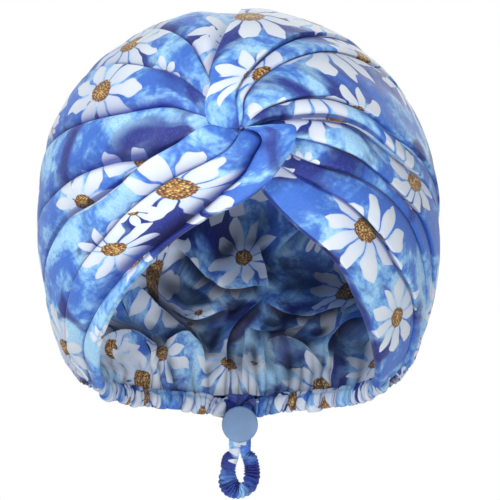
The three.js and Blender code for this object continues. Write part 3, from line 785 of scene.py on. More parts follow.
def band_columns(wrap, widths):
    """The band of each column and its share across the band. Columns crowd towards the folds."""
    strips = []
    shares = []
    for strip in range(len(wrap.folds) - 1):
        count = int(np.clip(round(widths[:, strip].max() / COLUMN_STEP), COLUMNS_LEAST, COLUMNS_MOST))
        even = np.arange(count) / count
        strips.append(np.full(count, strip))
        shares.append(mix(even, 0.5 - 0.5 * np.cos(math.pi * even), COLUMNS_CROWDED))
    strips.append(np.array([len(wrap.folds) - 2]))
    shares.append(np.ones(1))
    return np.concatenate(strips), np.concatenate(shares)


def lay_bands(wrap, cloth, field, stages, widths):
    """The bands of a pass, which flatten away from the knot and where another pass covers them."""
    strip, share = band_columns(wrap, widths)
    width = widths[:, strip]
    noses = np.array(wrap.noses)[strip]
    reach = in_field(field, np.broadcast_to(strip + share, width.shape))[..., 0]
    dying = smooth(reach, PUFF_FROM, PUFF_TO)
    form_left = mix(1, PUFF_LEFT, dying)
    if not wrap.is_over:
        form_left = form_left * smooth(stages, COVERED_STAGE, SHOWN_STAGE)[:, None]
    overhang = min(wrap.swell, 1) * np.minimum(OVERHANG_SHARE * width, cloth.fold_overhang / MM) * form_left
    # Share of the painted shade that is kept: less away from the knot, beside narrow bands, and none on flat
    # bands
    shade_left = mix(1, PAINTED_SHADE_LEFT, dying) * np.minimum(1, width / FULL_WIDTH) * (noses != "flat")
    return Bands(
        strip, share, noses, width, share * width, (1 - share) * width, overhang, form_left, shade_left
    )


def valley_reach(valley, bands, stages):
    """Distances from a valley's fold, and how much of the valley is there on each row."""
    away = np.abs(bands.place - valley.fold) * bands.width
    start = smooth(stages, valley.start, valley.start + VALLEY_FADE_IN)
    end = smooth(stages, valley.end, valley.end + VALLEY_FADE_OUT)
    return away, (start * (1 - end))[:, None]


def band_heights(wrap, cloth, bands, stages, run):
    """Heights of the bands over the form, with their creases, valleys and small waves."""
    profile = np.empty_like(bands.width)
    for nose in set(wrap.noses):
        chosen = bands.noses == nose
        profile[:, chosen] = band_height(
            bands.low[:, chosen], bands.high[:, chosen], bands.width[:, chosen], nose
        )
    swell = wrap.swell * np.minimum(PUFF_SHARE * bands.width, cloth.fold_height / MM)
    height = swell * bands.form_left * profile
    is_flat = bands.noses == "flat"
    from_fold = np.minimum(bands.share, 1 - bands.share) * bands.width
    crease = np.exp(-((from_fold / CREASE_WIDTH) ** 2)) * np.minimum(1, bands.width / FULL_WIDTH)
    height -= cloth.crease_depth / MM * crease * np.sqrt(bands.form_left) * ~is_flat
    height -= TUCK_DROP * is_flat * np.minimum(1, from_fold / TUCK_WIDTH)
    for valley in wrap.valleys:
        away, there = valley_reach(valley, bands, stages)
        height -= valley.depth * np.exp(-((away / valley.half_width) ** 2)) * there
    across = (bands.share - 0.5) * bands.width
    loose = 4 * bands.share * (1 - bands.share) * ~is_flat
    creases = BAND_CREASES.at(across + bands.strip * BAND_CREASES_APART, run, wrap.seed)
    waves = BAND_WAVES.at(across + bands.strip * BAND_WAVES_APART, run, wrap.seed)
    return height + loose * bands.form_left * creases + loose * waves


def band_painted_shade(wrap, bands, stages):
    """Shade painted on the cloth beside its folds, from 0 to 1: a dark line on each fold, a shadow below an
    overhanging edge and under the edge of the other wrap, and dark along the valleys.
    """
    shown_low = np.where(bands.noses == "both", bands.width, np.maximum(bands.low - bands.overhang, 0))
    shown_fold = np.minimum(shown_low, bands.high)
    line = LINE_DARK * np.exp(-((shown_fold / LINE_WIDTH) ** 2))
    shadow = SHADOW_DARK * np.exp(-shown_low / SHADOW_LENGTH)
    below_edge = np.where(bands.noses == "under", np.maximum(bands.high - UNDER_TUCK, 0), np.inf)
    under = UNDER_DARK * np.exp(-below_edge / SHADOW_LENGTH)
    hollow = bands.shade_left * np.maximum(np.maximum(line, shadow), under)
    for valley in wrap.valleys:
        away, there = valley_reach(valley, bands, stages)
        above = bands.place > valley.fold
        shown = np.where(above, np.maximum(away - bands.overhang, 0) / DARK_ABOVE, away / DARK_BELOW)
        hollow = np.maximum(hollow, valley.dark * np.exp(-shown) * there)
    return hollow


def wrap_sheet(wrap, cloth):
    """Points, print places and painted shade of a pass of a wrap, rows away from the knot."""
    runs = fold_runs(wrap.folds)
    stages = row_stages(runs, cloth.row_step / MM)
    field = along(runs, stages)
    edges = field[:, ::FIELD_STEPS]
    widths = lengths(np.diff(on_form(on_ball(edges[..., 0], edges[..., 1])), axis=1))
    middles = field[:, FIELD_STEPS // 2::FIELD_STEPS]
    arcs = run_along(on_form(on_ball(middles[..., 0], middles[..., 1])))
    match = int(np.argmin(np.abs(middles[..., 0].mean(axis=1) - PRINT_MATCH_REACH)))
    bands = lay_bands(wrap, cloth, field, stages, widths)
    run = (arcs - arcs[match])[:, bands.strip]
    height = band_heights(wrap, cloth, bands, stages, run)
    hollow = band_painted_shade(wrap, bands, stages)

    hangs = (bands.noses != "flat") & (bands.noses != "under")
    bulge = hangs * nose_bulge(bands.share) - (bands.noses == "both") * nose_bulge(1 - bands.share)
    position = bands.place + bulge * bands.overhang / np.maximum(bands.width, 1)
    cut_edges = np.concatenate(([0], np.cumsum(widths[match]))) * PRINT_FULLNESS
    cut_middles = (cut_edges[:-1] + cut_edges[1:])[bands.strip] / 2
    print_across = cut_middles + (bands.share - 0.5) * bands.width * PRINT_FULLNESS

    first = edge_columns(wrap.first_edge, widths[:, 0])
    last = edge_columns(wrap.last_edge, widths[:, -1])
    position = np.concatenate((-first.out[:, ::-1], position, len(wrap.folds) - 1 + last.out), axis=1)
    inside = np.zeros(len(bands.share))
    fall_share = np.concatenate((first.share[::-1], inside, last.share))
    fall = np.concatenate((first.fall[::-1], inside, last.fall))
    added = ((0, 0), (len(first.share), len(last.share)))
    height = np.pad(height, added, mode="edge")
    hollow = np.pad(hollow, added, mode="edge")
    run = np.pad(run, added, mode="edge")
    print_start = print_across[:, :1] - first.path[::-1]
    print_end = print_across[:, -1:] + last.path
    print_across = np.concatenate((print_start, print_across, print_end), axis=1)

    places = in_field(field, position)
    reach = places[..., 0]
    direction = on_ball(reach, places[..., 1])
    ground = on_form(direction)
    lift = np.zeros_like(reach)
    if wrap.is_over:
        dip = mix(LIFT_AT_EYE, 1, smooth(reach, 0, EYE_REACH))
        lift = KNOT_LIFT * dip * (1 - smooth(reach, LIFT_FROM, LIFT_TO))
        # Shade painted round the eye of the knot, where the passes cross
        hollow = np.maximum(hollow, EYE_DARK * (1 - smooth(reach, EYE_DARK_FROM, EYE_DARK_TO)))
    lift = lift + fall_share * (lift + TUCK_EXTRA) + fall
    # The gathers over the hem lift the cloth; shade is painted in the valleys between them
    gathers, valleys = hem_gathers(ground, places[..., 1], wrap.seed + GATHER_SEED_STEP)
    sewn = smooth(height_over_hem(ground) - CLOTH_END, 0, SEWN_HEIGHT)
    outer = SURFACE_LIFT * mix(SEWN_LIFT, 1, sewn) + height * mix(SEWN_SWELL, 1, sewn)
    points = on_form(direction, outer + gathers * cloth.gather_height / MM + lift)
    prints = np.stack((print_across + wrap.print_place[0], run + wrap.print_place[1]), axis=-1)
    return points, prints / PRINT_UNIT, np.maximum(hollow, valleys)


@dataclass
class EdgeColumns:
    """Columns past an edge: how far out in folds, how far down, and the cloth's path."""

    out: np.ndarray
    share: np.ndarray
    fall: np.ndarray
    path: np.ndarray


def edge_columns(kind, width):
    """Columns that turn a pass's edge under, on to the layer below or round the face opening."""
    if kind == "bare":
        return EdgeColumns(np.zeros((len(width), 0)), np.zeros(0), np.zeros(0), np.zeros(0))
    table = np.array(TUCKED_EDGE if kind == "tucked" else BOUND_EDGE, dtype=float)
    wide = np.maximum(width, 1)[:, None]
    out = np.clip(table[:, 0] / wide, *EDGE_OUT_LIMITS)
    steps = np.diff(np.vstack((np.zeros(2), table)), axis=0)
    down = table[:, 1]
    return EdgeColumns(
        out,
        down if kind == "tucked" else np.zeros(len(table)),
        np.zeros(len(table)) if kind == "tucked" else down,
        np.cumsum(lengths(steps)),
    )


# Lining


def plan_of(direction):
    return direction[..., :2] * (2 / (1 + direction[..., 2:]))


def face_edge():
    """The face opening's edge on the flat plan, from one hem corner round to the other."""
    def sampled(folds, index):
        runs = fold_runs(folds)[[index]]
        last = runs.shape[1] - 1
        return along(runs, np.linspace(0, last, FACE_EDGE_SAMPLES * last + 1))[:, 0]

    right = sampled(RIGHT_UNDER, -1)
    left = sampled(LEFT_OVER, 0)
    right = right[right[:, 0] > FACE_EDGE_REACH][::-1]
    left = left[left[:, 1] > FACE_EDGE_TURN]
    both = np.concatenate((right, left))
    return plan_of(on_ball(both[:, 0], both[:, 1]))


def lining_ends(angles):
    """How far from the crown the lining goes at each angle, in radians."""
    edge = face_edge()
    rays = np.stack((np.sin(angles), np.cos(angles)), axis=-1)
    most = np.full(angles.shape, 2 * math.tan(math.radians(HEM_FALL_MOST) / 2))

    def is_above(radius):
        direction = from_plan(rays[:, 0] * radius, rays[:, 1] * radius)
        return height_over_hem(on_form(direction)) > CLOTH_END

    ends = last_held(np.zeros(angles.shape), most, is_above)
    for start, stop in zip(edge[:-1], edge[1:]):
        side_start = rays[:, 0] * start[1] - rays[:, 1] * start[0]
        side_stop = rays[:, 0] * stop[1] - rays[:, 1] * stop[0]
        crosses = (side_start * side_stop <= 0) & (rays @ start > 0)
        share = side_start / np.where(side_start == side_stop, 1, side_start - side_stop)
        meet = lengths(mix(start[None], stop[None], share[:, None]))
        ends = np.where(crosses, np.minimum(ends, meet), ends)
    inset = np.where(np.cos(angles) < 0, FACE_EDGE_INSET / FRONT_DEPTH, 0)
    return 2 * np.arctan(ends / 2) - inset


@dataclass
class LiningFold:
    """A fold of the loose lining over the nape, along points (x, z). One of its sides is crisp."""

    points: tuple
    height: float
    soft: float
    crisp: float
    crisp_left: bool = False


LINING_FOLDS = (
    LiningFold(((-26, 60), (-15, 50), (3, 49), (19, 53)), 17, 26, 3.5),
    LiningFold(((20, 50), (18, 66), (13, 84)), 11, 20, 4),
    LiningFold(((-42, 80), (-36, 72), (-26, 59), (-15, 49)), 12, 20, 4),
    LiningFold(((-56, 44), (-46, 33), (-36, 29), (-20, 32), (-4, 40)), 15, 12, 4),
    LiningFold(((20, 46), (6, 33), (-6, 20), (-9, 4), (-5, -10)), 17, 8, 5, True),
    LiningFold(((13, 44), (31, 36), (48, 32), (64, 37), (78, 44)), 14, 15, 4),
    LiningFold(((17, 13), (30, 17), (42, 14), (52, 4)), 12, 10, 5, True),
    LiningFold(((58, 2), (62, 13), (70, 25), (86, 37)), 12, 13, 4),
    LiningFold(((-70, 58), (-57, 39), (-41, 21), (-24, 7)), 12, 14, 5, True),
    LiningFold(((-90, 22), (-82, 27), (-70, 25), (-62, 15), (-61, 2)), 11, 12, 4, True),
    LiningFold(((-58, 4), (-53, 15), (-41, 19), (-30, 13), (-22, 0)), 12, 11, 4, True),
    LiningFold(((22, 76), (44, 96)), 6, 14, 4),
    LiningFold(((-64, 72), (-50, 92)), 6, 16, 5, True),
    LiningFold(((4, 30), (5, 18), (3, 5), (2, -8)), 8, 6, 4),
    LiningFold(((15, 29), (17, 12), (17, -3)), 8, 6, 4, True),
    LiningFold(((4, 26), (16, 22), (29, 21), (41, 23), (52, 29)), 10, 9, 4),
)


def ridge_field(fold, across, upright):
    """Distances from a fold's ridge, more than 0 on its crisp side, and shares of the way along it."""
    corners = np.array([(*point, 0) for point in fold.points], dtype=float)
    line = centripetal(corners, RIDGE_STEP)[:, :2]
    nearest = np.full(across.shape, np.inf)
    is_left = np.zeros(across.shape, dtype=bool)
    run = np.zeros(across.shape)
    total = lengths(np.diff(line, axis=0)).sum()
    passed = 0.0
    for start, stop in zip(line[:-1], line[1:]):
        step = stop - start
        length = lengths(step)
        off_x = across - start[0]
        off_z = upright - start[1]
        share = np.clip((off_x * step[0] + off_z * step[1]) / length**2, 0, 1)
        away = np.hypot(off_x - share * step[0], off_z - share * step[1])
        closer = away < nearest
        nearest = np.where(closer, away, nearest)
        is_left = np.where(closer, step[0] * off_z - step[1] * off_x > 0, is_left)
        run = np.where(closer, (passed + share * length) / total, run)
        passed += length
    return np.where(is_left == fold.crisp_left, nearest, -nearest), run


def faded_ends(run, start, full):
    """Rises from start to full at one end of a run from 0 to 1, and falls in the same way at the other."""
    return smooth(run, start, full) * (1 - smooth(run, 1 - full, 1 - start))


def lining_folds(point):
    """How far the folds push the lining inwards, and for each fold the places beside its ridge,
    with the strength of the shadow painted below it and of the print hidden in it.
    """
    across = point[..., 0] + RIDGE_WOBBLE_ACROSS.at(point[..., 0], point[..., 2])
    upright = point[..., 2] + RIDGE_WOBBLE_UP.at(point[..., 0], point[..., 2])
    at_nape = smooth(point[..., 1], *LINING_NAPE)
    push = np.zeros(across.shape)
    ridges = []
    for fold in LINING_FOLDS:
        side, run = ridge_field(fold, across, upright)
        width = np.where(side > 0, LINING_CRISP * fold.crisp, fold.soft)
        form = np.exp(-((side / width) ** 2)) * faded_ends(run, *FOLD_END_FADE)
        push = push + LINING_FOLD_SCALE * fold.height * form
        # Strength of the shadow painted below the ridge, and of the print hidden in the fold
        tall = min(1, fold.height / RIDGE_DARK_HEIGHT) * at_nape
        dark = tall * faded_ends(run, *SHADE_END_FADE)
        broken = tall * faded_ends(run, *BREAK_END_FADE)
        ridges.append(np.stack((side / RIDGE_SHADOW, dark, broken), axis=-1))
    return LINING_DEEPEST * (1 - np.exp(-push / LINING_DEEPEST)) * at_nape, ridges


def lining_push(push, angle, height):
    """How far the lining stands in from the outer cloth, and the shade painted between its gathers."""
    around = angle * LINING_RADIUS
    loose = smooth(np.cos(angle), *LINING_LOOSE_TURN) * (1 - smooth(height, *LINING_LOOSE_HEIGHT))
    uneven = LINING_WAVES.at(around, height) + LINING_CREASES.at(around, height)
    drift = LINING_GATHER_DRIFT.at(around, height)
    gather = gathered(around / LINING_GATHER_WIDTH + drift + LINING_GATHER_SHAKE.at(around, height))
    near_hem = (1 - smooth(height, *LINING_GATHER_FADE)) * loose
    push = push + loose * uneven.clip(LINING_UNEVEN_LEAST) + LINING_GATHER_HEIGHT * gather * near_hem
    # Shade painted in the valleys between the gathers near the hem
    rise = LINING_VALLEY_RISE + LINING_VALLEY_WAVES.at(around, 0 * around)
    valley = (1 - gather) ** 2 * np.clip(1 - height / rise, 0, 1) * loose
    return push * smooth(height, *LINING_HEM_FADE) + LINING_GAP, valley


def blurred(field, spread):
    """The field smoothed over a number of rows and columns."""
    reach = math.ceil(3 * spread)
    steps = np.arange(-reach, reach + 1)
    weights = np.exp(-((steps / spread) ** 2) / 2)
    weights = weights / weights.sum()
    for axis in (0, 1):
        width = [(0, 0), (0, 0)]
        width[axis] = (reach, reach)
        padded = np.pad(field, width, mode="edge")
        places = np.arange(field.shape[axis])
        field = sum(weight * np.take(padded, places + index, axis) for index, weight in enumerate(weights))
    return field


def lining_grid():
    """The lining on the form and as it lies, its angles, runs and painted shade, and places beside its
    ridges.

    Rows go down from the crown and columns go round.
    """
    gores = [
        math.pi / 2 * (gore - 0.5 + np.arange(columns) / columns) for gore, columns in enumerate(GORE_COLUMNS)
    ]
    angle = np.concatenate((*gores, [math.pi / 2 * (len(GORE_COLUMNS) - 0.5)]))
    ends = lining_ends(np.mod(angle, 2 * math.pi))
    down = 1 - (1 - np.linspace(0, 1, GORE_ROWS + 1)) ** ROWS_CROWDED
    fall = ends[None] * down[:, None]
    angle = np.broadcast_to(angle, fall.shape)
    direction = np.stack((np.sin(fall) * np.sin(angle), np.sin(fall) * np.cos(angle), np.cos(fall)), axis=-1)
    ground = on_form(direction)
    height = height_over_hem(ground) - CLOTH_END
    wrapped = np.where(angle > math.pi, angle - 2 * math.pi, angle)
    push, ridges = lining_folds(ground)
    push, valley = lining_push(push, wrapped, height)
    push = blurred(push, LINING_SMOOTHING)
    points = on_form(direction, -push)
    # Painted shade where the lining lies deeper than its blurred surroundings, broadly and finely, and
    # between its gathers
    broad = (blurred(push, LINING_BLUR) - push - LINING_DARK_LEAST) / LINING_DARK_DEPTH
    fine = (blurred(push, LINING_FINE_BLUR) - push - LINING_FINE_LEAST) / LINING_FINE_DEPTH
    creased = LINING_PAINTED_SHADE * np.clip(np.maximum(broad, fine), 0, 1)
    hollow = np.maximum(creased, LINING_VALLEY_DARK * valley)
    return ground, points, angle, run_along(ground), hollow, ridges


# Casing, loop and lock


def hem_point(turn, side):
    turn = np.asarray(turn, dtype=float)
    reach = hem_reach(side * turn, CASING_HEIGHT / 2)
    return on_form(on_ball(reach, side * turn), -CASING_INSET)


def exit_turn():
    """Turn at which a casing ends and the loop comes out."""

    def is_inside(turn):
        return hem_point(turn, 1)[..., 0] < EXIT_HALF_WIDTH

    return float(last_held(0, CASING_CORNER_TURN / 2, is_inside))


@dataclass
class TubeFrames:
    """Places along a run, with the directions across and through it."""

    point: np.ndarray
    wide: np.ndarray
    deep: np.ndarray
    ahead: np.ndarray


def casing_frames(turns, side):
    point = hem_point(turns, side)
    ahead = unit(hem_point(turns - CASING_TURN_STEP, side) - hem_point(turns + CASING_TURN_STEP, side))
    tilt = math.radians(HEM_TILT)
    wide = np.broadcast_to(np.array((0, math.sin(tilt), math.cos(tilt))), point.shape)
    return TubeFrames(point, wide, unit(np.cross(ahead, wide)), ahead)


def lock_matrix():
    """Place of the lock's frame, in metres."""
    return Matrix.Translation(Vector(LOCK_PLACE) * MM) @ Matrix.Rotation(-math.radians(LOCK_TILT), 4, "X")


def lock_axes():
    return np.array(Matrix.Rotation(-math.radians(LOCK_TILT), 3, "X"))


def centripetal(points, step):
    """Points about a step apart on a smooth centripetal curve through the points."""
    ends = np.concatenate(([2 * points[0] - points[1]], points, [2 * points[-1] - points[-2]]))
    knots = np.concatenate(([0], np.cumsum(np.sqrt(lengths(np.diff(ends, axis=0))))))
    runs = []
    for index in range(1, len(ends) - 2):
        a, b, c, d = ends[index - 1:index + 3]
        ka, kb, kc, kd = knots[index - 1:index + 3]
        t = np.linspace(kb, kc, CURVE_SAMPLES, endpoint=False)[:, None]
        ab = mix(a, b, (t - ka) / (kb - ka))
        bc = mix(b, c, (t - kb) / (kc - kb))
        cd = mix(c, d, (t - kc) / (kd - kc))
        abc = mix(ab, bc, (t - ka) / (kc - ka))
        bcd = mix(bc, cd, (t - kb) / (kd - kb))
        runs.append(mix(abc, bcd, (t - kb) / (kc - kb)))
    dense = np.concatenate((*runs, points[-1:]))
    return even_points(dense, step)


def even_points(dense, step):
    """The same line with its points about a step apart."""
    run = run_along(dense)
    places = np.linspace(0, run[-1], max(2, math.ceil(run[-1] / step) + 1))
    return np.stack([np.interp(places, run, dense[:, axis]) for axis in range(3)], axis=-1)


def loop_route():
    """Centre line of the loop: out of one casing end, down through the lock, round and back up."""
    axes = lock_axes()
    sides = []
    for side in (1, -1):
        frames = casing_frames(np.array([exit_turn()]), side)
        start = frames.point + frames.ahead * SEAM_GAP
        out = frames.point + frames.ahead * EXIT_LEAD
        placed = (np.array(LOOP_HALF) * (side, 1, 1)) @ axes.T + LOCK_PLACE
        sides.append(np.concatenate((start, out, placed)))
    bottom = axes @ np.array(LOOP_BOTTOM) + LOCK_PLACE
    return centripetal(np.concatenate((sides[0], bottom[None], sides[1][::-1])), LOOP_STEP)


def loop_frames(route):
    ahead = unit(np.gradient(route, axis=0))
    lock_deep = lock_axes()[:, 1]
    wide = unit(np.cross(lock_deep, ahead))
    return TubeFrames(route, wide, unit(np.cross(ahead, wide)), ahead)


# Meshes


def deselect():
    bpy.ops.object.select_all(action="DESELECT")


def select_only(*pieces):
    deselect()
    for piece in pieces:
        piece.select_set(True)
    bpy.context.view_layer.objects.active = pieces[0]


def active_piece(name):
    """The object that an operator has just made or changed, under its name."""
    piece = bpy.context.active_object
    piece.name = name
    piece.data.name = name
    return piece


def grid_piece(name, points, prints, hollow):
    """A sheet of quads through a grid of points, with its print places and the shade painted on it."""
    rows, columns = points.shape[:2]
    deselect()
    bpy.ops.mesh.primitive_grid_add(x_subdivisions=columns - 1, y_subdivisions=rows - 1, size=1)
    piece = active_piece(name)
    mesh = piece.data
    if len(mesh.vertices) != rows * columns:
        raise RuntimeError(f"{name}: the grid has {len(mesh.vertices)} points, not {rows * columns}")
    mesh.vertices.foreach_set("co", (points * MM).ravel())
    corner = np.empty(len(mesh.loops), dtype=np.int32)
    mesh.loops.foreach_get("vertex_index", corner)
    layer = mesh.uv_layers.active
    layer.name = "print"
    layer.data.foreach_set("uv", prints.reshape(-1, 2)[corner].ravel())
    # The painted shade is kept on the points, for the material to darken the print by
    depth = mesh.attributes.new("hollow", "FLOAT", "POINT")
    depth.data.foreach_set("value", np.clip(hollow, 0, 1).ravel())
    mesh.update()
    return piece


def apply_modifier(piece, kind, **values):
    """Adds a modifier and applies it to the mesh."""
    select_only(piece)
    modifier = piece.modifiers.new(kind.lower(), kind)
    for name, value in values.items():
        setattr(modifier, name, value)
    bpy.ops.object.modifier_apply(modifier=modifier.name)


def on_whole_mesh(piece, operator, **values):
    """Runs an operator of the edit mode on the whole mesh of a piece."""
    select_only(piece)
    bpy.ops.object.mode_set(mode="EDIT")
    bpy.ops.mesh.select_all(action="SELECT")
    operator(**values)
    bpy.ops.object.mode_set(mode="OBJECT")


def join_pieces(pieces, name):
    select_only(*pieces)
    bpy.ops.object.join()
    return active_piece(name)


def dress(piece, material, body, sharp=RIGID_SHARP):
    """Gives a finished piece its material, its body and smooth shading."""
    piece.data.materials.clear()
    piece.data.materials.append(material)
    select_only(piece)
    bpy.ops.object.shade_smooth_by_angle(angle=math.radians(sharp))
    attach(piece, body)
    return piece


def around_angles(sides):
    """Angles once round a tube, with the first one again at the end."""
    return 2 * math.pi * np.arange(sides + 1) / sides


@dataclass
class Tube:
    """Frames of a tube with its half sizes along them, bumps and painted shade round it, and its print."""

    frames: TubeFrames
    half_wide: float | np.ndarray
    half_deep: float | np.ndarray
    sides: int
    bump: float | np.ndarray = 0.0
    hollow: float | np.ndarray = 0.0
    print_place: tuple = (0, 0)
    fullness: float = 1.6


def tube_piece(name, tube):
    """The capped mesh of a tube."""
    frames = tube.frames
    angle = around_angles(tube.sides)
    stations = (len(frames.point),)
    wide = np.broadcast_to(np.asarray(tube.half_wide, dtype=float), stations)[:, None]
    deep = np.broadcast_to(np.asarray(tube.half_deep, dtype=float), stations)[:, None]
    across = ((wide + tube.bump) * np.cos(angle))[..., None] * frames.wide[:, None]
    through = ((deep + tube.bump) * np.sin(angle))[..., None] * frames.deep[:, None]
    points = frames.point[:, None] + across + through
    around = angle * float(np.mean(wide + deep) / 2)
    run = run_along(frames.point)[:, None] * tube.fullness
    prints = (np.stack(np.broadcast_arrays(around[None], run), axis=-1) + tube.print_place) / PRINT_UNIT
    piece = grid_piece(name, points, prints, np.broadcast_to(tube.hollow, points.shape[:2]))
    on_whole_mesh(piece, bpy.ops.mesh.remove_doubles, threshold=WELD)
    on_whole_mesh(piece, bpy.ops.mesh.fill_holes, sides=0)
    on_whole_mesh(piece, bpy.ops.mesh.normals_make_consistent, inside=False)
    return piece


# Materials


def put(tree, socket, value):
    """Links a socket to an output, or sets it to a value."""
    if isinstance(value, bpy.types.NodeSocket):
        tree.links.new(value, socket)
    else:
        socket.default_value = value


def put_inputs(tree, target, **inputs):
    """Links or sets inputs of a node by name, with underscores for spaces."""
    for name, value in inputs.items():
        put(tree, target.inputs[name.replace("_", " ")], value)


def node(tree, kind, options=None, **inputs):
    """Adds a node, sets its options, and links or sets its inputs by name."""
    added = tree.nodes.new(kind)
    for name, value in (options or {}).items():
        setattr(added, name, value)
    put_inputs(tree, added, **inputs)
    return added


def calc(tree, operation, *values, clamp=False):
    """Output of a Math node."""
    added = node(tree, "ShaderNodeMath", {"operation": operation, "use_clamp": clamp})
    for index, value in enumerate(values):
        put(tree, added.inputs[index], value)
    return added.outputs[0]


def vector_calc(tree, operation, *values):
    added = node(tree, "ShaderNodeVectorMath", {"operation": operation})
    for index, value in enumerate(values):
        put(tree, added.inputs[index], value)
    return added.outputs["Value" if operation in ("LENGTH", "DOT_PRODUCT", "DISTANCE") else "Vector"]


def scaled(tree, vector, factor):
    added = node(tree, "ShaderNodeVectorMath", {"operation": "SCALE"}, Scale=factor)
    put(tree, added.inputs[0], vector)
    return added.outputs[0]


def stepped(tree, value, low, high):
    """Soft step of a value from 0 at low to 1 at high."""
    options = {"interpolation_type": "SMOOTHSTEP"}
    return node(tree, "ShaderNodeMapRange", options, Value=value, From_Min=low, From_Max=high).outputs[0]


def mixed(tree, factor, first, second, blend="MIX"):
    added = node(tree, "ShaderNodeMix", {"data_type": "RGBA", "blend_type": blend, "clamp_factor": True})
    put(tree, added.inputs[0], factor)
    put(tree, added.inputs[6], first)
    put(tree, added.inputs[7], second)
    return added.outputs[2]


def noise(tree, vector, scale, detail=3.0, distortion=0.0, dimensions="2D"):
    added = node(
        tree, "ShaderNodeTexNoise", {"noise_dimensions": dimensions}, Vector=vector, Scale=scale,
        Detail=detail, Distortion=distortion,
    )
    return added.outputs[0]


def voronoi(tree, vector, scale, randomness=1.0):
    """Outputs of a flat Voronoi texture."""
    options = {"voronoi_dimensions": "2D", "feature": "F1"}
    added = node(tree, "ShaderNodeTexVoronoi", options, Vector=vector, Scale=scale, Randomness=randomness)
    return added.outputs


def turned(tree, vector, angle):
    added = node(tree, "ShaderNodeVectorRotate", {"rotation_type": "Z_AXIS"}, Vector=vector, Angle=angle)
    return added.outputs[0]


def rest_of(tree, value):
    """What a value leaves of 1."""
    return calc(tree, "SUBTRACT", 1.0, value)


def new_group(name, inputs, outputs):
    """An empty shader node group with named sockets, and its input and output nodes."""
    group = bpy.data.node_groups.new(name, "ShaderNodeTree")
    for in_out, sockets in (("INPUT", inputs), ("OUTPUT", outputs)):
        for socket, kind in sockets.items():
            group.interface.new_socket(name=socket, in_out=in_out, socket_type=kind)
    return group, group.nodes.new("NodeGroupInput").outputs, group.nodes.new("NodeGroupOutput").inputs


def use_group(tree, name, **inputs):
    added = node(tree, "ShaderNodeGroup", {"node_tree": bpy.data.node_groups[name]}, **inputs)
    return added.outputs


FLOAT = "NodeSocketFloat"
VECTOR = "NodeSocketVector"
COLOUR = "NodeSocketColor"

# In the tables of the materials a noise is (scale, detail, distortion), a step is (low, high), a
# roughness is (spread, least) and a bump is (strength, distance in metres)

# Ground of the print
WASH_BROAD = (1.1, 2.0, 0.4)
WASH_BLOTS = (3.2, 4.0, 1.2)
WASH_GRAIN = (34.0, 3.0)
WASH_STROKES = (9.0, 6.0, 0.7)
WASH_POOLS = (2.1, 4.0, 0.5)
WASH_SPECKLE = (70.0, 3.0)
BROAD_SHARE = 0.6
BLOTS_SHARE = 0.75
GRAIN_MIDDLE = 0.2
GRAIN_SHARE = 0.2
STROKES_MIDDLE = 0.5
STROKES_SHARE = 0.32
MIDDLE_STEP = (0.55, 0.78)
ROYAL_STEP = (0.66, 0.86)
POOL_SHIFT = (5.3, 2.1, 0.0)
POOL_STEP = (0.5, 0.64)
TIDE_PACE = 9.0
TIDE_STEP = (0.42, 0.5)
TIDE_SHARE = 0.4
SPECKLE_SPREAD = 0.36
SPECKLE_LEAST = 0.82


def build_wash_group():
    """Mottled watercolour ground in four blues."""
    inputs = {"Place": VECTOR, "Light": COLOUR, "Middle": COLOUR, "Royal": COLOUR, "Deep": COLOUR}
    tree, given, wanted = new_group("blue_wash", inputs, {"Colour": COLOUR})
    place = given["Place"]
    broad = noise(tree, place, *WASH_BROAD)
    blots = noise(tree, place, *WASH_BLOTS)
    grain = calc(tree, "SUBTRACT", noise(tree, place, *WASH_GRAIN), GRAIN_MIDDLE)
    strokes = calc(tree, "SUBTRACT", noise(tree, place, *WASH_STROKES), STROKES_MIDDLE)
    level = calc(tree, "MULTIPLY_ADD", blots, BLOTS_SHARE, calc(tree, "MULTIPLY", broad, BROAD_SHARE))
    level = calc(tree, "MULTIPLY_ADD", grain, GRAIN_SHARE, level)
    level = calc(tree, "MULTIPLY_ADD", strokes, STROKES_SHARE, level)
    pale = mixed(tree, stepped(tree, level, *MIDDLE_STEP), given["Light"], given["Middle"])
    strong = mixed(tree, stepped(tree, level, *ROYAL_STEP), pale, given["Royal"])
    pools = noise(tree, vector_calc(tree, "ADD", place, POOL_SHIFT), *WASH_POOLS)
    deep = mixed(tree, stepped(tree, pools, *POOL_STEP), strong, given["Deep"])
    tide = calc(tree, "FRACT", calc(tree, "MULTIPLY", level, TIDE_PACE))
    tide = calc(tree, "ABSOLUTE", calc(tree, "SUBTRACT", tide, 0.5))
    lines = calc(tree, "MULTIPLY", stepped(tree, tide, *TIDE_STEP), TIDE_SHARE)
    edged = mixed(tree, lines, deep, given["Royal"])
    speckle = calc(tree, "MULTIPLY_ADD", noise(tree, place, *WASH_SPECKLE), SPECKLE_SPREAD, SPECKLE_LEAST)
    tree.links.new(scaled(tree, edged, speckle), wanted["Colour"])


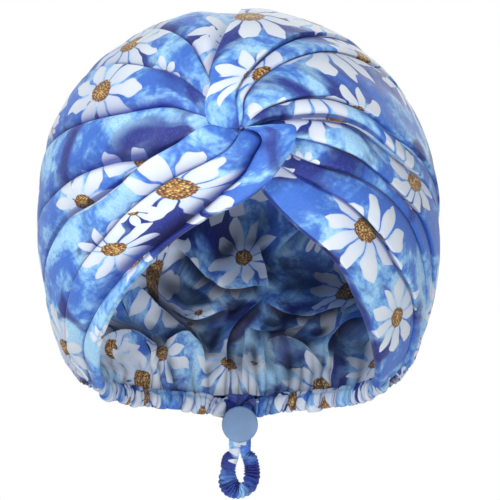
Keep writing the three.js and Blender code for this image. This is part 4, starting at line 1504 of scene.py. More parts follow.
# Blossoms of the print
CELL_RANDOMNESS = 0.5
BLOSSOM_SPREAD = 0.35
BLOSSOM_LEAST = 0.78
BEARING_NOISE = (7.0, 1.0)
BEARING_WOBBLE = 0.5
PETAL_SPREAD = 0.22
PETAL_LEAST = 0.8
PETAL_TAPER = 1.7
PETAL_CURVE = 0.62
PETAL_FULLNESS = 1.62
PETAL_STEP = (0.0, 0.022)
RIM_STEP = (0.0, 0.09)
RIM_SHADE = 0.25
BASE_STEP = (0.15, 0.75)
BASE_SHADE = 0.55
VEINS = 9.0
VEIN_NOISE = (2.0, 2.0)
VEIN_SPREAD = 1.3
VEIN_LEAST = 0.2
CENTRE_SHARE = 0.25
CENTRE_NOISE = (40.0, 1.0)
CENTRE_RAGGED = 0.25
CENTRE_STEP = (1.0, 1.12)
CENTRE_EDGE_DARK = 0.35
DOT_SCALE = 84.0
DOT_DARK = 0.95
DOT_STEP = (0.32, 0.8)
POLLEN_STEP = (0.45, 0.9)


@dataclass
class Blossom:
    """Outputs for the blossom that a point lies in: its chances, whether it is there, its radius, and
    how far the point is from its middle and in which direction."""

    luck: list
    there: bpy.types.NodeSocket
    radius: bpy.types.NodeSocket
    out: bpy.types.NodeSocket
    bearing: bpy.types.NodeSocket


def find_blossom(tree, given):
    place = given["Place"]
    cells = voronoi(tree, place, calc(tree, "DIVIDE", 1.0, given["Cell"]), CELL_RANDOMNESS)
    luck = list(node(tree, "ShaderNodeSeparateColor", Color=cells["Color"]).outputs)
    there = calc(tree, "LESS_THAN", luck[0], given["Chance"])
    size = calc(tree, "MULTIPLY_ADD", luck[1], BLOSSOM_SPREAD, BLOSSOM_LEAST)
    radius = calc(tree, "MULTIPLY", given["Cell"], calc(tree, "MULTIPLY", given["Size"], size))
    local = vector_calc(tree, "SUBTRACT", place, cells["Position"])
    parts = node(tree, "ShaderNodeSeparateXYZ", Vector=local).outputs
    bearing = calc(tree, "ARCTAN2", parts[1], parts[0])
    bearing = calc(tree, "MULTIPLY_ADD", luck[2], 2 * math.pi, bearing)
    bearing = calc(tree, "MULTIPLY_ADD", noise(tree, place, *BEARING_NOISE), BEARING_WOBBLE, bearing)
    return Blossom(luck, there, radius, vector_calc(tree, "LENGTH", local), bearing)


def draw_petals(tree, blossom, petals, wanted):
    """Petals, each of its own length, and their shade with veins in it."""
    sector = calc(tree, "DIVIDE", calc(tree, "MULTIPLY", blossom.bearing, petals), 2 * math.pi)
    number = node(tree, "ShaderNodeCombineXYZ", X=calc(tree, "FLOOR", sector), Y=blossom.luck[0]).outputs[0]
    luck = node(tree, "ShaderNodeTexWhiteNoise", {"noise_dimensions": "2D"}, Vector=number).outputs[0]
    length = calc(tree, "MULTIPLY_ADD", luck, PETAL_SPREAD, PETAL_LEAST)
    length = calc(tree, "MULTIPLY", blossom.radius, length)
    off_axis = calc(tree, "SUBTRACT", calc(tree, "FRACT", sector), 0.5)
    off_axis = calc(tree, "DIVIDE", calc(tree, "MULTIPLY", off_axis, 2 * math.pi), petals)
    ahead = calc(tree, "MULTIPLY", blossom.out, calc(tree, "COSINE", off_axis))
    ahead = calc(tree, "DIVIDE", ahead, length)
    aside = calc(tree, "MULTIPLY", blossom.out, calc(tree, "SINE", off_axis))
    aside = calc(tree, "DIVIDE", calc(tree, "ABSOLUTE", aside), length)
    taper = calc(tree, "POWER", calc(tree, "MINIMUM", ahead, 1.0), PETAL_TAPER)
    curve = calc(tree, "SINE", calc(tree, "MULTIPLY", taper, math.pi))
    curve = calc(tree, "POWER", calc(tree, "MAXIMUM", curve, 0.0), PETAL_CURVE)
    half = calc(tree, "MULTIPLY", curve, calc(tree, "DIVIDE", PETAL_FULLNESS, petals))
    inside = calc(tree, "SUBTRACT", half, aside)
    petal = calc(tree, "MULTIPLY", stepped(tree, inside, *PETAL_STEP), blossom.there)
    petal = calc(tree, "MULTIPLY", petal, calc(tree, "LESS_THAN", ahead, 1.0))
    tree.links.new(petal, wanted["Petal"])
    vein_turn = calc(tree, "MULTIPLY", sector, VEINS)
    vein_place = node(tree, "ShaderNodeCombineXYZ", X=vein_turn, Y=ahead).outputs[0]
    veins = calc(tree, "MULTIPLY_ADD", noise(tree, vein_place, *VEIN_NOISE), VEIN_SPREAD, VEIN_LEAST)
    base = rest_of(tree, stepped(tree, ahead, *BASE_STEP))
    rim = rest_of(tree, stepped(tree, inside, *RIM_STEP))
    shade = calc(tree, "MULTIPLY_ADD", base, BASE_SHADE, calc(tree, "MULTIPLY", rim, RIM_SHADE))
    tree.links.new(calc(tree, "MULTIPLY", shade, veins, clamp=True), wanted["Shade"])


def draw_centre(tree, blossom, place, wanted):
    """The ragged centre with its dots."""
    core = calc(tree, "DIVIDE", blossom.out, calc(tree, "MULTIPLY", blossom.radius, CENTRE_SHARE))
    ragged = calc(tree, "MULTIPLY_ADD", noise(tree, place, *CENTRE_NOISE), CENTRE_RAGGED, core)
    centre = rest_of(tree, stepped(tree, ragged, *CENTRE_STEP))
    tree.links.new(calc(tree, "MULTIPLY", centre, blossom.there), wanted["Centre"])
    dots = voronoi(tree, place, DOT_SCALE)
    dim = calc(tree, "MULTIPLY", dots["Distance"], DOT_DARK)
    dim = calc(tree, "MULTIPLY_ADD", core, CENTRE_EDGE_DARK, dim)
    tree.links.new(stepped(tree, dim, *DOT_STEP), wanted["Dots"])
    luck = node(tree, "ShaderNodeSeparateColor", Color=dots["Color"]).outputs[0]
    tree.links.new(stepped(tree, luck, *POLLEN_STEP), wanted["Pollen"])


def build_blossom_group():
    """Scattered blossoms with rounded petals: masks of the petals and of their centres."""
    inputs = {"Place": VECTOR, "Cell": FLOAT, "Size": FLOAT, "Petals": FLOAT, "Chance": FLOAT}
    outputs = {"Petal": FLOAT, "Shade": FLOAT, "Centre": FLOAT, "Dots": FLOAT, "Pollen": FLOAT}
    tree, given, wanted = new_group("scattered_blossoms", inputs, outputs)
    blossom = find_blossom(tree, given)
    draw_petals(tree, blossom, given["Petals"], wanted)
    draw_centre(tree, blossom, given["Place"], wanted)


# Weave of the satin
WEAVE_TURN = 0.5
WEAVE_THREADS = 260.0
WEAVE_DISTORTION = 1.5
WEAVE_DETAIL = 1.0
SLUB_NOISE = (45.0, 3.0)
CRUMPLE_NOISE = (7.0, 2.0, 0.8)
THREAD_HEIGHT = 0.12
SLUB_HEIGHT = 0.35
CRUMPLE_HEIGHT = 0.5
SLUB_ROUGHNESS = 0.12


def build_weave_group():
    """Fine satin weave: heights for a bump, and a roughness that wanders a little."""
    inputs = {"Place": VECTOR, "Gloss": FLOAT}
    tree, given, wanted = new_group("satin_weave", inputs, {"Height": FLOAT, "Roughness": FLOAT})
    place = given["Place"]
    threads = node(
        tree, "ShaderNodeTexWave", {"wave_profile": "SIN"}, Vector=turned(tree, place, WEAVE_TURN),
        Scale=WEAVE_THREADS, Distortion=WEAVE_DISTORTION, Detail=WEAVE_DETAIL,
    ).outputs["Fac"]
    slubs = noise(tree, place, *SLUB_NOISE)
    height = calc(tree, "MULTIPLY_ADD", threads, THREAD_HEIGHT, calc(tree, "MULTIPLY", slubs, SLUB_HEIGHT))
    height = calc(tree, "MULTIPLY_ADD", noise(tree, place, *CRUMPLE_NOISE), CRUMPLE_HEIGHT, height)
    tree.links.new(height, wanted["Height"])
    smoothest = calc(tree, "SUBTRACT", given["Gloss"], SLUB_ROUGHNESS / 2)
    tree.links.new(calc(tree, "MULTIPLY_ADD", slubs, SLUB_ROUGHNESS, smoothest), wanted["Roughness"])


def build_ridge_group():
    """Beside the ridge of a fold: a shadow painted over the cloth below it, fading away, and the share of
    print hidden in the fold.
    """
    outputs = {"Dark": FLOAT, "Hidden": FLOAT}
    tree, given, wanted = new_group("ridge_shade", {"Beside": VECTOR}, outputs)
    parts = node(tree, "ShaderNodeSeparateXYZ", Vector=given["Beside"]).outputs
    edge = calc(tree, "MULTIPLY", stepped(tree, parts[0], 0.0, RIDGE_EDGE), parts[1])
    fade = calc(tree, "EXPONENT", calc(tree, "MULTIPLY", calc(tree, "MULTIPLY", parts[0], parts[0]), -1.0))
    tree.links.new(calc(tree, "MULTIPLY", edge, fade), wanted["Dark"])
    slow_fade = calc(tree, "EXPONENT", calc(tree, "MULTIPLY", parts[0], -RIDGE_STRETCH))
    whole = calc(tree, "GREATER_THAN", parts[0], 0.0)
    hidden = calc(tree, "MULTIPLY", calc(tree, "MULTIPLY", whole, slow_fade), parts[2])
    tree.links.new(hidden, wanted["Hidden"])


def new_material(name):
    """A material with a Principled BSDF on its output."""
    material = bpy.data.materials.new(name)
    material.use_nodes = True
    tree = material.node_tree
    return material, tree, tree.nodes["Principled BSDF"]


def bumped(tree, shader, height, strength, distance):
    """Gives a shader a bump from the heights."""
    bump = node(tree, "ShaderNodeBump", Strength=strength, Distance=distance, Height=height)
    put_inputs(tree, shader, Normal=bump.outputs[0])


def darker(colour, share):
    return (*(part * share for part in colour[:3]), 1.0)


@dataclass
class BlossomLayer:
    """A scatter of blossoms: the setting for its spacing and the share of it, their size in a cell,
    their petals, the chance that a cell holds one, and a shift of the scatter."""

    spacing: str
    share: float
    size: float
    petals: float
    chance: float
    shift: tuple


BLOSSOM_LAYERS = (
    BlossomLayer("bud_cell", 1.0, 0.3, 7.0, 0.3, (2.7, 6.1, 0.0)),
    BlossomLayer("blossom_cell", 1.08, 0.42, 10.0, 0.58, (7.9, 3.3, 0.0)),
    BlossomLayer("blossom_cell", 1.0, 0.42, 9.0, 0.7, (0.0, 0.0, 0.0)),
)


def with_blossoms(tree, colour, place, layer, prints):
    """The colour with a layer of blossoms printed over it."""
    blossoms = use_group(
        tree, "scattered_blossoms", Place=vector_calc(tree, "ADD", place, layer.shift),
        Cell=getattr(prints, layer.spacing) / (PRINT_UNIT * MM) * layer.share,
        Size=layer.size, Petals=layer.petals, Chance=layer.chance,
    )
    white = mixed(tree, blossoms["Shade"], prints.petal, prints.petal_shade)
    pollen = mixed(tree, blossoms["Pollen"], prints.centre, prints.centre_light)
    middle = mixed(tree, blossoms["Dots"], pollen, prints.centre_dark)
    colour = mixed(tree, blossoms["Petal"], colour, white)
    return mixed(tree, blossoms["Centre"], colour, middle)


@dataclass
class Satin:
    """A side of the satin: its material, the setting for the colour of the shade painted on it, its shift in
    the print, its roughness, its saturation and how many ridges of folds are marked on it, each with a shadow
    painted below it."""

    material: str
    hollow: str
    shift: tuple
    gloss: float
    saturation: float
    ridges: int


# The lining's print is a little less saturated than the outer satin's, as painted shade for its dim inside,
# and takes its own greyer colour of painted shade
SATINS = {
    "outer": Satin("printed_satin", "hollow", (0.0, 0.0, 0.0), 0.5, 1.0, 0),
    "inner": Satin("printed_satin_lining", "painted_shade_inside", (3.1, 7.7, 0.0), 0.56, 0.95, len(LINING_FOLDS)),
}
SATIN_BUMP = (0.35, 0.0004)
SATIN_SPECULAR = 0.4
SATIN_SHEEN = 0.12
SHEEN_ROUGHNESS = 0.4


def satin_material(side, prints):
    """Printed satin on the cloth's own print map, with painted shade: darker in creases and below the ridges
    of folds.
    """
    material, tree, shader = new_material(side.material)
    place = node(tree, "ShaderNodeUVMap", {"uv_map": "print"}).outputs[0]
    place = vector_calc(tree, "ADD", place, side.shift)
    hollow = node(tree, "ShaderNodeAttribute", {"attribute_name": "hollow"}).outputs["Fac"]
    for number in range(side.ridges):
        beside = node(tree, "ShaderNodeAttribute", {"attribute_name": f"ridge_{number}"}).outputs["Vector"]
        ridge = use_group(tree, "ridge_shade", Beside=beside)
        hollow = calc(tree, "MAXIMUM", hollow, ridge["Dark"])
        place = vector_calc(tree, "ADD", place, scaled(tree, RIDGE_SHIFT, ridge["Hidden"]))
    colour = use_group(
        tree, "blue_wash", Place=place, Light=prints.ground_light, Middle=prints.ground_middle,
        Royal=prints.ground_royal, Deep=prints.ground_deep,
    )["Colour"]
    for layer in BLOSSOM_LAYERS:
        colour = with_blossoms(tree, colour, place, layer, prints)
    colour = node(tree, "ShaderNodeHueSaturation", Saturation=side.saturation, Color=colour).outputs[0]
    # Painted shade: the print is multiplied towards the shade colour in creases and below the ridges of folds
    colour = mixed(tree, hollow, colour, getattr(prints, side.hollow), "MULTIPLY")
    weave = use_group(tree, "satin_weave", Place=place, Gloss=side.gloss)
    put_inputs(
        tree, shader, Base_Color=colour, Roughness=weave["Roughness"], Specular_IOR_Level=SATIN_SPECULAR,
        Sheen_Weight=SATIN_SHEEN, Sheen_Roughness=SHEEN_ROUGHNESS,
    )
    bumped(tree, shader, weave["Height"], *SATIN_BUMP)
    return material


def satin(context, name):
    """The material of a side. Both are made, with their node groups, when one is first asked for."""
    if SATINS[name].material not in bpy.data.materials:
        for build in (build_wash_group, build_blossom_group, build_weave_group, build_ridge_group):
            build()
        for side in SATINS.values():
            satin_material(side, context.scene.bonnet_print)
    return bpy.data.materials[SATINS[name].material]


# Plastic, elastic and wire
PLASTIC_GRAIN = (2600.0, 3.0)
PLASTIC_CLOUD = (90.0, 2.0)
PLASTIC_CLOUD_STEP = (0.35, 0.65)
PLASTIC_DARK = 0.9
PLASTIC_ROUGHNESS = (0.16, 0.44)
PLASTIC_BUMP = (0.25, 0.00006)
BRAID_TURNS = (0.7, -0.7)
BRAID_SCALE = 42.0
BRAID_DARK = 0.7
BRAID_ROUGHNESS = (-0.15, 0.85)
BRAID_BUMP = (0.5, 0.0002)
WIRE_NOISE = (900.0, 2.0)
WIRE_DARK = srgb(0x9EA2A8)
WIRE_LIGHT = srgb(0xC6CACF)
WIRE_ROUGHNESS = (0.2, 0.22)


def plastic_material(name, colour):
    """Matte moulded plastic with a fine grain."""
    material, tree, shader = new_material(name)
    place = node(tree, "ShaderNodeTexCoord").outputs["Object"]
    grain = noise(tree, place, *PLASTIC_GRAIN, dimensions="3D")
    cloud = stepped(tree, noise(tree, place, *PLASTIC_CLOUD, dimensions="3D"), *PLASTIC_CLOUD_STEP)
    clouded = mixed(tree, cloud, darker(colour, PLASTIC_DARK), tuple(colour))
    roughness = calc(tree, "MULTIPLY_ADD", grain, *PLASTIC_ROUGHNESS)
    put_inputs(tree, shader, Base_Color=clouded, Roughness=roughness)
    bumped(tree, shader, grain, *PLASTIC_BUMP)
    return material


def elastic_material(name, colour):
    """Braided cover of an elastic cord, on its own UV map."""
    material, tree, shader = new_material(name)
    place = node(tree, "ShaderNodeUVMap", {"uv_map": "print"}).outputs[0]
    strands = []
    for angle in BRAID_TURNS:
        wave = node(tree, "ShaderNodeTexWave", Vector=turned(tree, place, angle), Scale=BRAID_SCALE)
        strands.append(wave.outputs["Fac"])
    braid = calc(tree, "MAXIMUM", *strands)
    braided = mixed(tree, braid, darker(colour, BRAID_DARK), tuple(colour))
    roughness = calc(tree, "MULTIPLY_ADD", braid, *BRAID_ROUGHNESS)
    put_inputs(tree, shader, Base_Color=braided, Roughness=roughness)
    bumped(tree, shader, braid, *BRAID_BUMP)
    return material


def wire_material(name):
    """Drawn spring wire."""
    material, tree, shader = new_material(name)
    place = node(tree, "ShaderNodeTexCoord").outputs["Object"]
    lines = noise(tree, place, *WIRE_NOISE, dimensions="3D")
    roughness = calc(tree, "MULTIPLY_ADD", lines, *WIRE_ROUGHNESS)
    drawn = mixed(tree, lines, WIRE_DARK, WIRE_LIGHT)
    put_inputs(tree, shader, Base_Color=drawn, Roughness=roughness, Metallic=1.0)
    return material


# Stage, with places and sizes in metres
CAMERA_PLACE = (0.006, -1.5, 0.079)
CAMERA_LENS = 189
SENSOR_WIDTH = 36
CLIP_END = 20
LIGHT_TARGET = (0, 0, 0.09)
FLOOR_SIZE = 2.4
FLOOR_NOISE = (3.0, 2.0)
FLOOR_DARK = srgb(0xF2F2F2)
FLOOR_LIGHT = srgb(0xF8F8F8)
FLOOR_ROUGHNESS = 0.8


@dataclass
class Light:
    """A round soft light: its place and size, the setting for its power and its share of that power."""

    name: str
    place: tuple
    size: float
    power: str
    share: float


LIGHTS = (
    Light("key_light", (-0.6, -1.25, 1.15), 0.8, "key_power", 1.0),
    Light("fill_light", (-1.15, -1.25, 0.42), 0.5, "fill_power", 1.0),
    Light("front_light", (0.5, -1.5, 0.0), 0.6, "fill_power", 1.08),
    Light("back_light", (0.5, 1.3, 0.9), 1.4, "fill_power", 0.8),
)


def photo_camera():
    """The camera, level and straight in front."""
    deselect()
    bpy.ops.object.camera_add(location=CAMERA_PLACE, rotation=(math.radians(90), 0, 0))
    camera = bpy.context.active_object
    camera.name = "photo_camera"
    camera.data.sensor_width = SENSOR_WIDTH
    camera.data.lens = CAMERA_LENS
    camera.data.clip_end = CLIP_END
    return camera


def area_light(light, power):
    deselect()
    bpy.ops.object.light_add(type="AREA", location=light.place)
    lamp = bpy.context.active_object
    lamp.name = light.name
    lamp.data.shape = "DISK"
    lamp.data.size = light.size
    lamp.data.energy = power
    lamp.rotation_euler = (Vector(LIGHT_TARGET) - Vector(light.place)).to_track_quat("-Z", "Y").to_euler()


def white_surround(ambient):
    """A world that is seen and mirrored as white, and lights the cloth by its ambient share."""
    world = bpy.data.worlds.new("white_surround")
    world.use_nodes = True
    tree = world.node_tree
    tree.nodes.clear()
    rays = node(tree, "ShaderNodeLightPath").outputs
    seen = calc(tree, "ADD", rays["Is Camera Ray"], rays["Is Glossy Ray"])
    seen = calc(tree, "ADD", seen, rays["Is Transmission Ray"], clamp=True)
    strength = calc(tree, "MULTIPLY_ADD", seen, 1 - ambient, ambient)
    surround = node(tree, "ShaderNodeBackground", Color=(1, 1, 1, 1), Strength=strength)
    node(tree, "ShaderNodeOutputWorld", Surface=surround.outputs[0])
    return world


def pale_floor(height):
    deselect()
    bpy.ops.mesh.primitive_plane_add(size=FLOOR_SIZE, location=(0, 0, height))
    floor = bpy.context.active_object
    floor.name = "floor"
    material, tree, shader = new_material("pale_floor")
    soft = noise(tree, node(tree, "ShaderNodeTexCoord").outputs["Object"], *FLOOR_NOISE, dimensions="3D")
    put_inputs(tree, shader, Base_Color=mixed(tree, soft, FLOOR_DARK, FLOOR_LIGHT), Roughness=FLOOR_ROUGHNESS)
    floor.data.materials.append(material)
    return floor


class BONNET_OT_stage(bpy.types.Operator):
    """Sets the camera, the soft lights, the white surround and the floor"""

    bl_idname = "bonnet.stage"
    bl_label = "Studio"

    def execute(self, context):
        settings = context.scene.bonnet_stage
        context.scene.view_settings.view_transform = "Standard"
        context.scene.camera = photo_camera()
        for light in LIGHTS:
            area_light(light, light.share * getattr(settings, light.power))
        context.scene.world = white_surround(settings.ambient)
        floor = pale_floor(settings.floor_height)
        return {"FINISHED"}


# Pieces


def sleeve_tube(route):
    """The sleeve of the loop: drawn in at the casings, flat on the legs and gathered round the bottom."""
    run = run_along(route)
    from_end = np.minimum(run, run[-1] - run)
    down = -((route - LOCK_PLACE) @ lock_axes()[:, 2])
    drawn = smooth(from_end, 0, SLEEVE_DRAWN)
    full = smooth(down, *SLEEVE_WIDENS)
    bore = ELASTIC / 2 + SLEEVE_ROOM
    full_wide = LOOP_WIDTH / 2 + SLEEVE_EXTRA_WIDE + SLEEVE_SWELL.at(run, 0 * run)
    half_wide = mix(mix(bore, LEG_WIDTH / 2, drawn), full_wide, full)
    half_deep = mix(mix(bore, LEG_DEPTH / 2, drawn), LOOP_DEPTH / 2 + SLEEVE_EXTRA_DEEP, full)

    later = np.where(route[:, 0] < 0, RUCHE_LEFT_LATER, 0)
    ruched = smooth(down - later, *RUCHE_FROM)[:, None]
    angle = around_angles(SLEEVE_SIDES)
    turn_x = np.cos(angle)[None]
    turn_y = np.sin(angle)[None]
    along_run = run[:, None]
    place = along_run / RUCHE_WIDTH + RUCHE_DRIFT.at(along_run, turn_x)
    place = place + RUCHE_TWIST.at(along_run + RUCHE_TWIST_ROUND * turn_x, turn_y) + RUCHE_SLANT * turn_x
    ruche = gathered(place)
    uneven = RUCHE_UNEVEN.at(along_run + RUCHE_UNEVEN_ROUND * turn_x, turn_y)
    uneven = RUCHE_EVEN + uneven.clip(-RUCHE_UNEVEN.height, RUCHE_UNEVEN.height)
    lump = SLEEVE_LUMPS.at(along_run, turn_x).clip(*SLEEVE_LUMP_LIMITS)
    depth = mix(*RUCHE_DEPTHS, ruched) * mix(1, uneven, ruched)
    bump = (ruche - RUCHE_MIDDLE) * depth + lump * SLEEVE_LUMP_HEIGHT * ruched
    # Painted shade in the valleys of the ruche, less on the flat legs, and where the sleeve goes into the
    # casings
    dark = RUCHE_DARK * np.clip(1 - ruche / RUCHE_DARK_BELOW, 0, 1) * mix(LEG_DARK_SHARE, 1, ruched) * uneven
    hollow = np.maximum(dark, EXIT_DARK * (1 - smooth(from_end, *EXIT_DARK_FADE))[:, None])
    return Tube(
        loop_frames(route), half_wide, half_deep, SLEEVE_SIDES, bump, hollow, SLEEVE_PRINT, SLEEVE_FULLNESS
    )


def elastic_tube(route):
    """The elastic, from one front corner through the casings and the loop to the other."""
    turns = mix(CASING_CORNER_TURN, exit_turn(), np.linspace(ELASTIC_START, 1, ELASTIC_STATIONS))
    right = casing_frames(turns, 1).point
    left = casing_frames(turns, -1).point
    core = even_points(np.concatenate((right, route, left[::-1])), ELASTIC_STEP)
    return Tube(loop_frames(core), ELASTIC / 2, ELASTIC / 2, ELASTIC_SIDES)


class BONNET_OT_loop(bpy.types.Operator):
    """Makes the elastic cord and the gathered sleeve of the adjusting loop"""

    bl_idname = "bonnet.loop"
    bl_label = "Adjusting loop"

    def execute(self, context):
        route = loop_route()
        sleeve = tube_piece("loop_sleeve_cloth", sleeve_tube(route))
        dress(sleeve, satin(context, "outer"), "bonnet", CLOTH_SHARP)
        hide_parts("loop_sleeve")

        elastic = tube_piece("elastic_cord", elastic_tube(route))
        slot = next(entry for entry in frame["record"]["materials"] if entry["slot"] == "elastic")
        dress(elastic, elastic_material("covered_elastic", (*slot["base_color"], 1.0)), "bonnet")
        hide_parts("elastic")
        return {"FINISHED"}


class BONNET_OT_wraps(bpy.types.Operator):
    """Makes the two wrapped halves of the outer satin"""

    bl_idname = "bonnet.wraps"
    bl_label = "Twisted wraps"

    def execute(self, context):
        cloth = context.scene.bonnet_cloth
        for wrap, passes in WRAP_PASSES.items():
            parts = []
            for number, wrap_pass in enumerate(passes):
                parts.append(grid_piece(f"{wrap}_pass_{number}", *wrap_sheet(wrap_pass, cloth)))
            piece = join_pieces(parts, f"{wrap}_cloth")
            apply_modifier(piece, "SOLIDIFY", thickness=cloth.thickness, offset=-1)
            dress(piece, satin(context, "outer"), "bonnet", CLOTH_SHARP)
            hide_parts(wrap)
        return {"FINISHED"}


class BONNET_OT_lining(bpy.types.Operator):
    """Makes the loose satin lining"""

    bl_idname = "bonnet.lining"
    bl_label = "Lining"

    def execute(self, context):
        cloth = context.scene.bonnet_cloth
        ground, points, angle, run, hollow, ridges = lining_grid()
        parts = []
        for gore, count in enumerate(GORE_COLUMNS):
            start = sum(GORE_COLUMNS[:gore])
            columns = slice(start, start + count + 1)
            middle = gore * math.pi / 2
            across = (angle[:, columns] - middle) * np.hypot(ground[:, columns, 0], ground[:, columns, 1])
            prints = np.stack((across + gore * GORE_PRINT_STEP, run[:, columns]), axis=-1) / PRINT_UNIT
            part = grid_piece(f"lining_gore_{gore}", points[:, columns], prints, hollow[:, columns])
            for number, ridge in enumerate(ridges):
                beside = part.data.attributes.new(f"ridge_{number}", "FLOAT_VECTOR", "POINT")
                beside.data.foreach_set("vector", ridge[:, columns].ravel())
            parts.append(part)
        piece = join_pieces(parts, "lining_cloth")
        on_whole_mesh(piece, bpy.ops.mesh.remove_doubles, threshold=SEAM_WELD)
        apply_modifier(piece, "SOLIDIFY", thickness=cloth.thickness, offset=1)
        dress(piece, satin(context, "inner"), "bonnet", CLOTH_SHARP)
        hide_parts("lining")
        return {"FINISHED"}


@dataclass
class Pleats:
    """Pleats along a run: distances past the crease before and up to the crease ahead, and a chance."""

    past: np.ndarray
    ahead: np.ndarray
    luck: np.ndarray


def pleats_along(run, seed):
    """Knife pleats of uneven widths along a run of at least 0."""
    chance = np.random.default_rng(seed)
    edges = np.cumsum(PLEAT_LEAST + PLEAT_SPREAD * chance.random(PLEATS_MOST) ** PLEAT_UNEVEN)
    luck = chance.random(PLEATS_MOST)
    number = np.clip(np.searchsorted(edges, run + edges[1]), 1, PLEATS_MOST - 1)
    return Pleats(run + edges[1] - edges[number - 1], edges[number] - edges[1] - run, luck[number])


def casing_tube(side):
    """A gathered casing, from its front corner to the middle of the nape, where it ends as a flat facing."""
    turns = mix(CASING_CORNER_TURN, CASING_LAST_TURN, np.linspace(0, 1, CASING_STATIONS))
    frames = casing_frames(turns, side)
    run = run_along(frames.point)[:, None]
    from_exit = np.abs(frames.point[:, :1]) - EXIT_HALF_WIDTH
    whole = smooth(from_exit, *CASING_EXIT_EDGE)
    angle = around_angles(CASING_SIDES)
    up = np.cos(angle)[None]
    front = np.sin(angle)[None]

    slanted = run + PLEAT_LEAN.at(run, 0 * run, side) * up
    slanted = slanted + PLEAT_SHAKE.at(up, run + PLEAT_SHAKE_ROUND * front, side)
    pleats = pleats_along(slanted + 2 * PLEAT_LEAN.height, PLEAT_SEED + side)
    ridge = 1 - np.exp(-pleats.past / PLEAT_ROUNDING)
    ridge = ridge * (1 - PLEAT_BACK * np.exp(-pleats.ahead / PLEAT_ROUNDING))
    tall = mix(*PLEAT_TALL, pleats.luck)
    sewn = np.exp(-(((up - CASING_SEAM_UP) / CASING_SEAM_WIDTH) ** 2))
    bump = (ridge - PLEAT_MIDDLE) * PLEAT_HEIGHT * tall * (1 - CASING_SEAM_FLAT * sewn)
    bump = bump - CASING_SEAM_DEPTH * sewn
    drop = PLEAT_DROP * (pleats.luck - 0.5) * ridge + CASING_LOW_WAVES.at(run, up, side)
    bump = bump + (1 - smooth(up, *CASING_LOW)) * drop
    corner = smooth(run, 0, CASING_CORNER_RUN)
    bump = bump * mix(CASING_FACING_PLEATS, 1, whole) - (1 - corner) * CASING_CORNER_DROP

    outwards = frames.deep * np.sign((frames.deep * frames.point).sum(axis=1, keepdims=True))
    droop = mix(CASING_FACING_DROOP, CASING_DROOP, whole) * (1 - smooth(from_exit, *CASING_DROOP_FADE))
    point = frames.point + outwards * ((CASING_FACING_OUT + CASING_FACING_APART * side) * (1 - whole))
    point = point - np.array((0, 0, 1)) * droop
    half_wide = mix(CASING_HALF_WIDE + CASING_FACING_WIDER, CASING_HALF_WIDE, whole[:, 0])
    half_deep = mix(CASING_FACING_HALF, CASING_HALF_DEEP, whole[:, 0])

    # Painted shade in the crease of each pleat and behind it, less along the sewn line, and over the facing
    # at the loop's exit
    crease = np.exp(-pleats.past / PLEAT_CREASE) * tall
    behind = PLEAT_BACK_DARK * np.exp(-pleats.ahead / PLEAT_BACK_SHADE)
    hollow = np.maximum(crease, behind) * (1 - CASING_SEAM_LESS_SHADE * sewn)
    hollow = np.maximum(hollow, CASING_FACING_DARK * (1 - whole))
    print_place = (CASING_PRINT[0], CASING_PRINT[1] + CASING_PRINT_APART * side)
    return Tube(
        TubeFrames(point, frames.wide, frames.deep, frames.ahead), half_wide, half_deep, CASING_SIDES,
        bump, hollow, print_place, CASING_FULLNESS,
    )


class BONNET_OT_casings(bpy.types.Operator):
    """Makes the gathered nape casings"""

    bl_idname = "bonnet.casings"
    bl_label = "Nape casings"

    def execute(self, context):
        for side, name in ((1, "right"), (-1, "left")):
            piece = tube_piece(f"nape_casing_{name}_cloth", casing_tube(side))
            dress(piece, satin(context, "outer"), "bonnet", CLOTH_SHARP)
            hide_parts(f"nape_casing_{name}")
        return {"FINISHED"}


def lock_block(name, half_x, from_y, to_y, half_z):
    """A block in the lock's frame."""
    deselect()
    bpy.ops.mesh.primitive_cube_add(size=1, location=(0, (from_y + to_y) / 2 * MM, 0))
    piece = active_piece(name)
    piece.scale = (2 * half_x * MM, (to_y - from_y) * MM, 2 * half_z * MM)
    bpy.ops.object.transform_apply(location=True, rotation=True, scale=True)
    return piece


def rounded_disc(name, radius, from_y, to_y, edge):
    """A disc about the lock's Y axis with rounded rims."""
    deselect()
    bpy.ops.mesh.primitive_cylinder_add(
        vertices=ROUND_SIDES, radius=radius * MM, depth=(to_y - from_y) * MM,
        location=(0, (from_y + to_y) / 2 * MM, 0), rotation=(math.radians(90), 0, 0),
    )
    piece = active_piece(name)
    bpy.ops.object.transform_apply(location=True, rotation=True, scale=True)
    bpy.ops.object.mode_set(mode="EDIT")
    bpy.ops.mesh.select_all(action="DESELECT")
    bpy.ops.object.mode_set(mode="OBJECT")
    for rim in piece.data.edges:
        ends = [piece.data.vertices[index].co.y for index in rim.vertices]
        rim.select = abs(ends[0] - ends[1]) < WELD
    bpy.ops.object.mode_set(mode="EDIT")
    bpy.ops.mesh.select_mode(type="EDGE")
    bpy.ops.mesh.bevel(offset=edge, segments=ROUNDING_STEPS, affect="EDGES")
    bpy.ops.object.mode_set(mode="OBJECT")
    return piece


def combine(piece, other, operation):
    """Cuts another piece away from a piece, or adds it to the piece."""
    apply_modifier(piece, "BOOLEAN", operation=operation, object=other, solver="EXACT")
    bpy.data.objects.remove(other)


def place_in_lock(piece):
    select_only(piece)
    piece.matrix_world = lock_matrix()
    bpy.ops.object.transform_apply(location=True, rotation=True, scale=True)


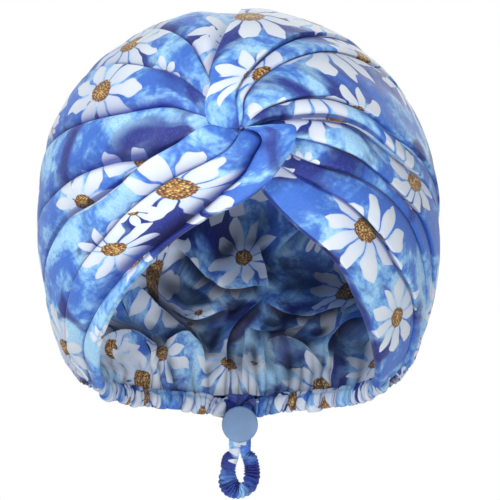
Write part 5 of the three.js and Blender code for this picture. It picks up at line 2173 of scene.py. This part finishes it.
def lock_barrel(rounding):
    """The barrel, with a well for the plunger and windows for the legs of the loop."""
    barrel = rounded_disc("lock_barrel_moulding", BARREL_RADIUS, BARREL_FRONT, BARREL_BACK, rounding)
    well_front = BARREL_FRONT - BLOCK_OVERLAP
    well = lock_block("well", WELL_HALF, well_front, WELL_FLOOR, PLUNGER_HALF_SPAN + FIT)
    combine(barrel, well, "DIFFERENCE")
    windows = lock_block("windows", WINDOW_HALF, WINDOW_FRONT, PLATE_BACK, 2 * BARREL_RADIUS)
    combine(barrel, windows, "DIFFERENCE")
    place_in_lock(barrel)
    return barrel


def lock_button(rounding):
    """The button with its plunger, a stirrup that the legs of the loop go through."""
    button = rounded_disc("lock_button_moulding", BUTTON_RADIUS, BUTTON_FRONT, BUTTON_BACK, rounding)
    half_wide = WINDOW_HALF + PLUNGER_RAIL
    front = BUTTON_BACK - BLOCK_OVERLAP
    stirrup = lock_block("stirrup", half_wide, front, PLATE_BACK - SPRING_ROOM, PLUNGER_HALF_SPAN)
    gap = lock_block("gap", WINDOW_HALF, BUTTON_BACK, PLATE_FRONT, 2 * PLUNGER_HALF_SPAN)
    combine(stirrup, gap, "DIFFERENCE")
    combine(button, stirrup, "UNION")
    place_in_lock(button)
    return button


class BONNET_OT_lock(bpy.types.Operator):
    """Makes the moulded lock that slides on the loop"""

    bl_idname = "bonnet.lock"
    bl_label = "Lock"

    def execute(self, context):
        settings = context.scene.bonnet_lock
        plastic = plastic_material("matte_plastic", settings.plastic)
        barrel = lock_barrel(settings.rounding)
        dress(barrel, plastic, "cord_lock")
        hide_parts("lock_barrel")

        button = lock_button(settings.rounding)
        dress(button, plastic, "lock_button")
        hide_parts("lock_button")

        spring = frame["nodes"]["lock_spring"]
        spring.data.materials.clear()
        spring.data.materials.append(wire_material("spring_wire"))
        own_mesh(spring)

        route = loop_route()
        return {"FINISHED"}


class BONNET_PT_sidebar(bpy.types.Panel):
    """Lists the bonnet's settings and the steps that build it"""

    bl_idname = "BONNET_PT_sidebar"
    bl_label = "Satin hair bonnet"
    bl_space_type = "VIEW_3D"
    bl_region_type = "UI"
    bl_category = "Bonnet"

    def draw(self, context):
        layout = self.layout
        for step in OPERATORS:
            layout.operator(step.bl_idname)
        scene = context.scene
        for group in (scene.bonnet_cloth, scene.bonnet_print, scene.bonnet_lock, scene.bonnet_stage):
            box = layout.box()
            for name in group.__annotations__:
                box.prop(group, name)


SETTINGS = {
    "bonnet_cloth": BonnetClothSettings,
    "bonnet_print": BonnetPrintSettings,
    "bonnet_lock": BonnetLockSettings,
    "bonnet_stage": BonnetStageSettings,
}
OPERATORS = (
    BONNET_OT_stage,
    BONNET_OT_loop,
    BONNET_OT_wraps,
    BONNET_OT_lining,
    BONNET_OT_casings,
    BONNET_OT_lock,
)


def register():
    for name, group in SETTINGS.items():
        bpy.utils.register_class(group)
        setattr(bpy.types.Scene, name, bpy.props.PointerProperty(type=group))
    for step in OPERATORS:
        bpy.utils.register_class(step)
    bpy.utils.register_class(BONNET_PT_sidebar)


def unregister():
    bpy.utils.unregister_class(BONNET_PT_sidebar)
    for step in reversed(OPERATORS):
        bpy.utils.unregister_class(step)
    for name, group in reversed(SETTINGS.items()):
        delattr(bpy.types.Scene, name)
        bpy.utils.unregister_class(group)


def main():
    register()
    bpy.ops.bonnet.stage()
    bpy.ops.bonnet.loop()
    bpy.ops.bonnet.wraps()
    bpy.ops.bonnet.lining()
    bpy.ops.bonnet.casings()
    bpy.ops.bonnet.lock()


if __name__ == "__main__":
    main()
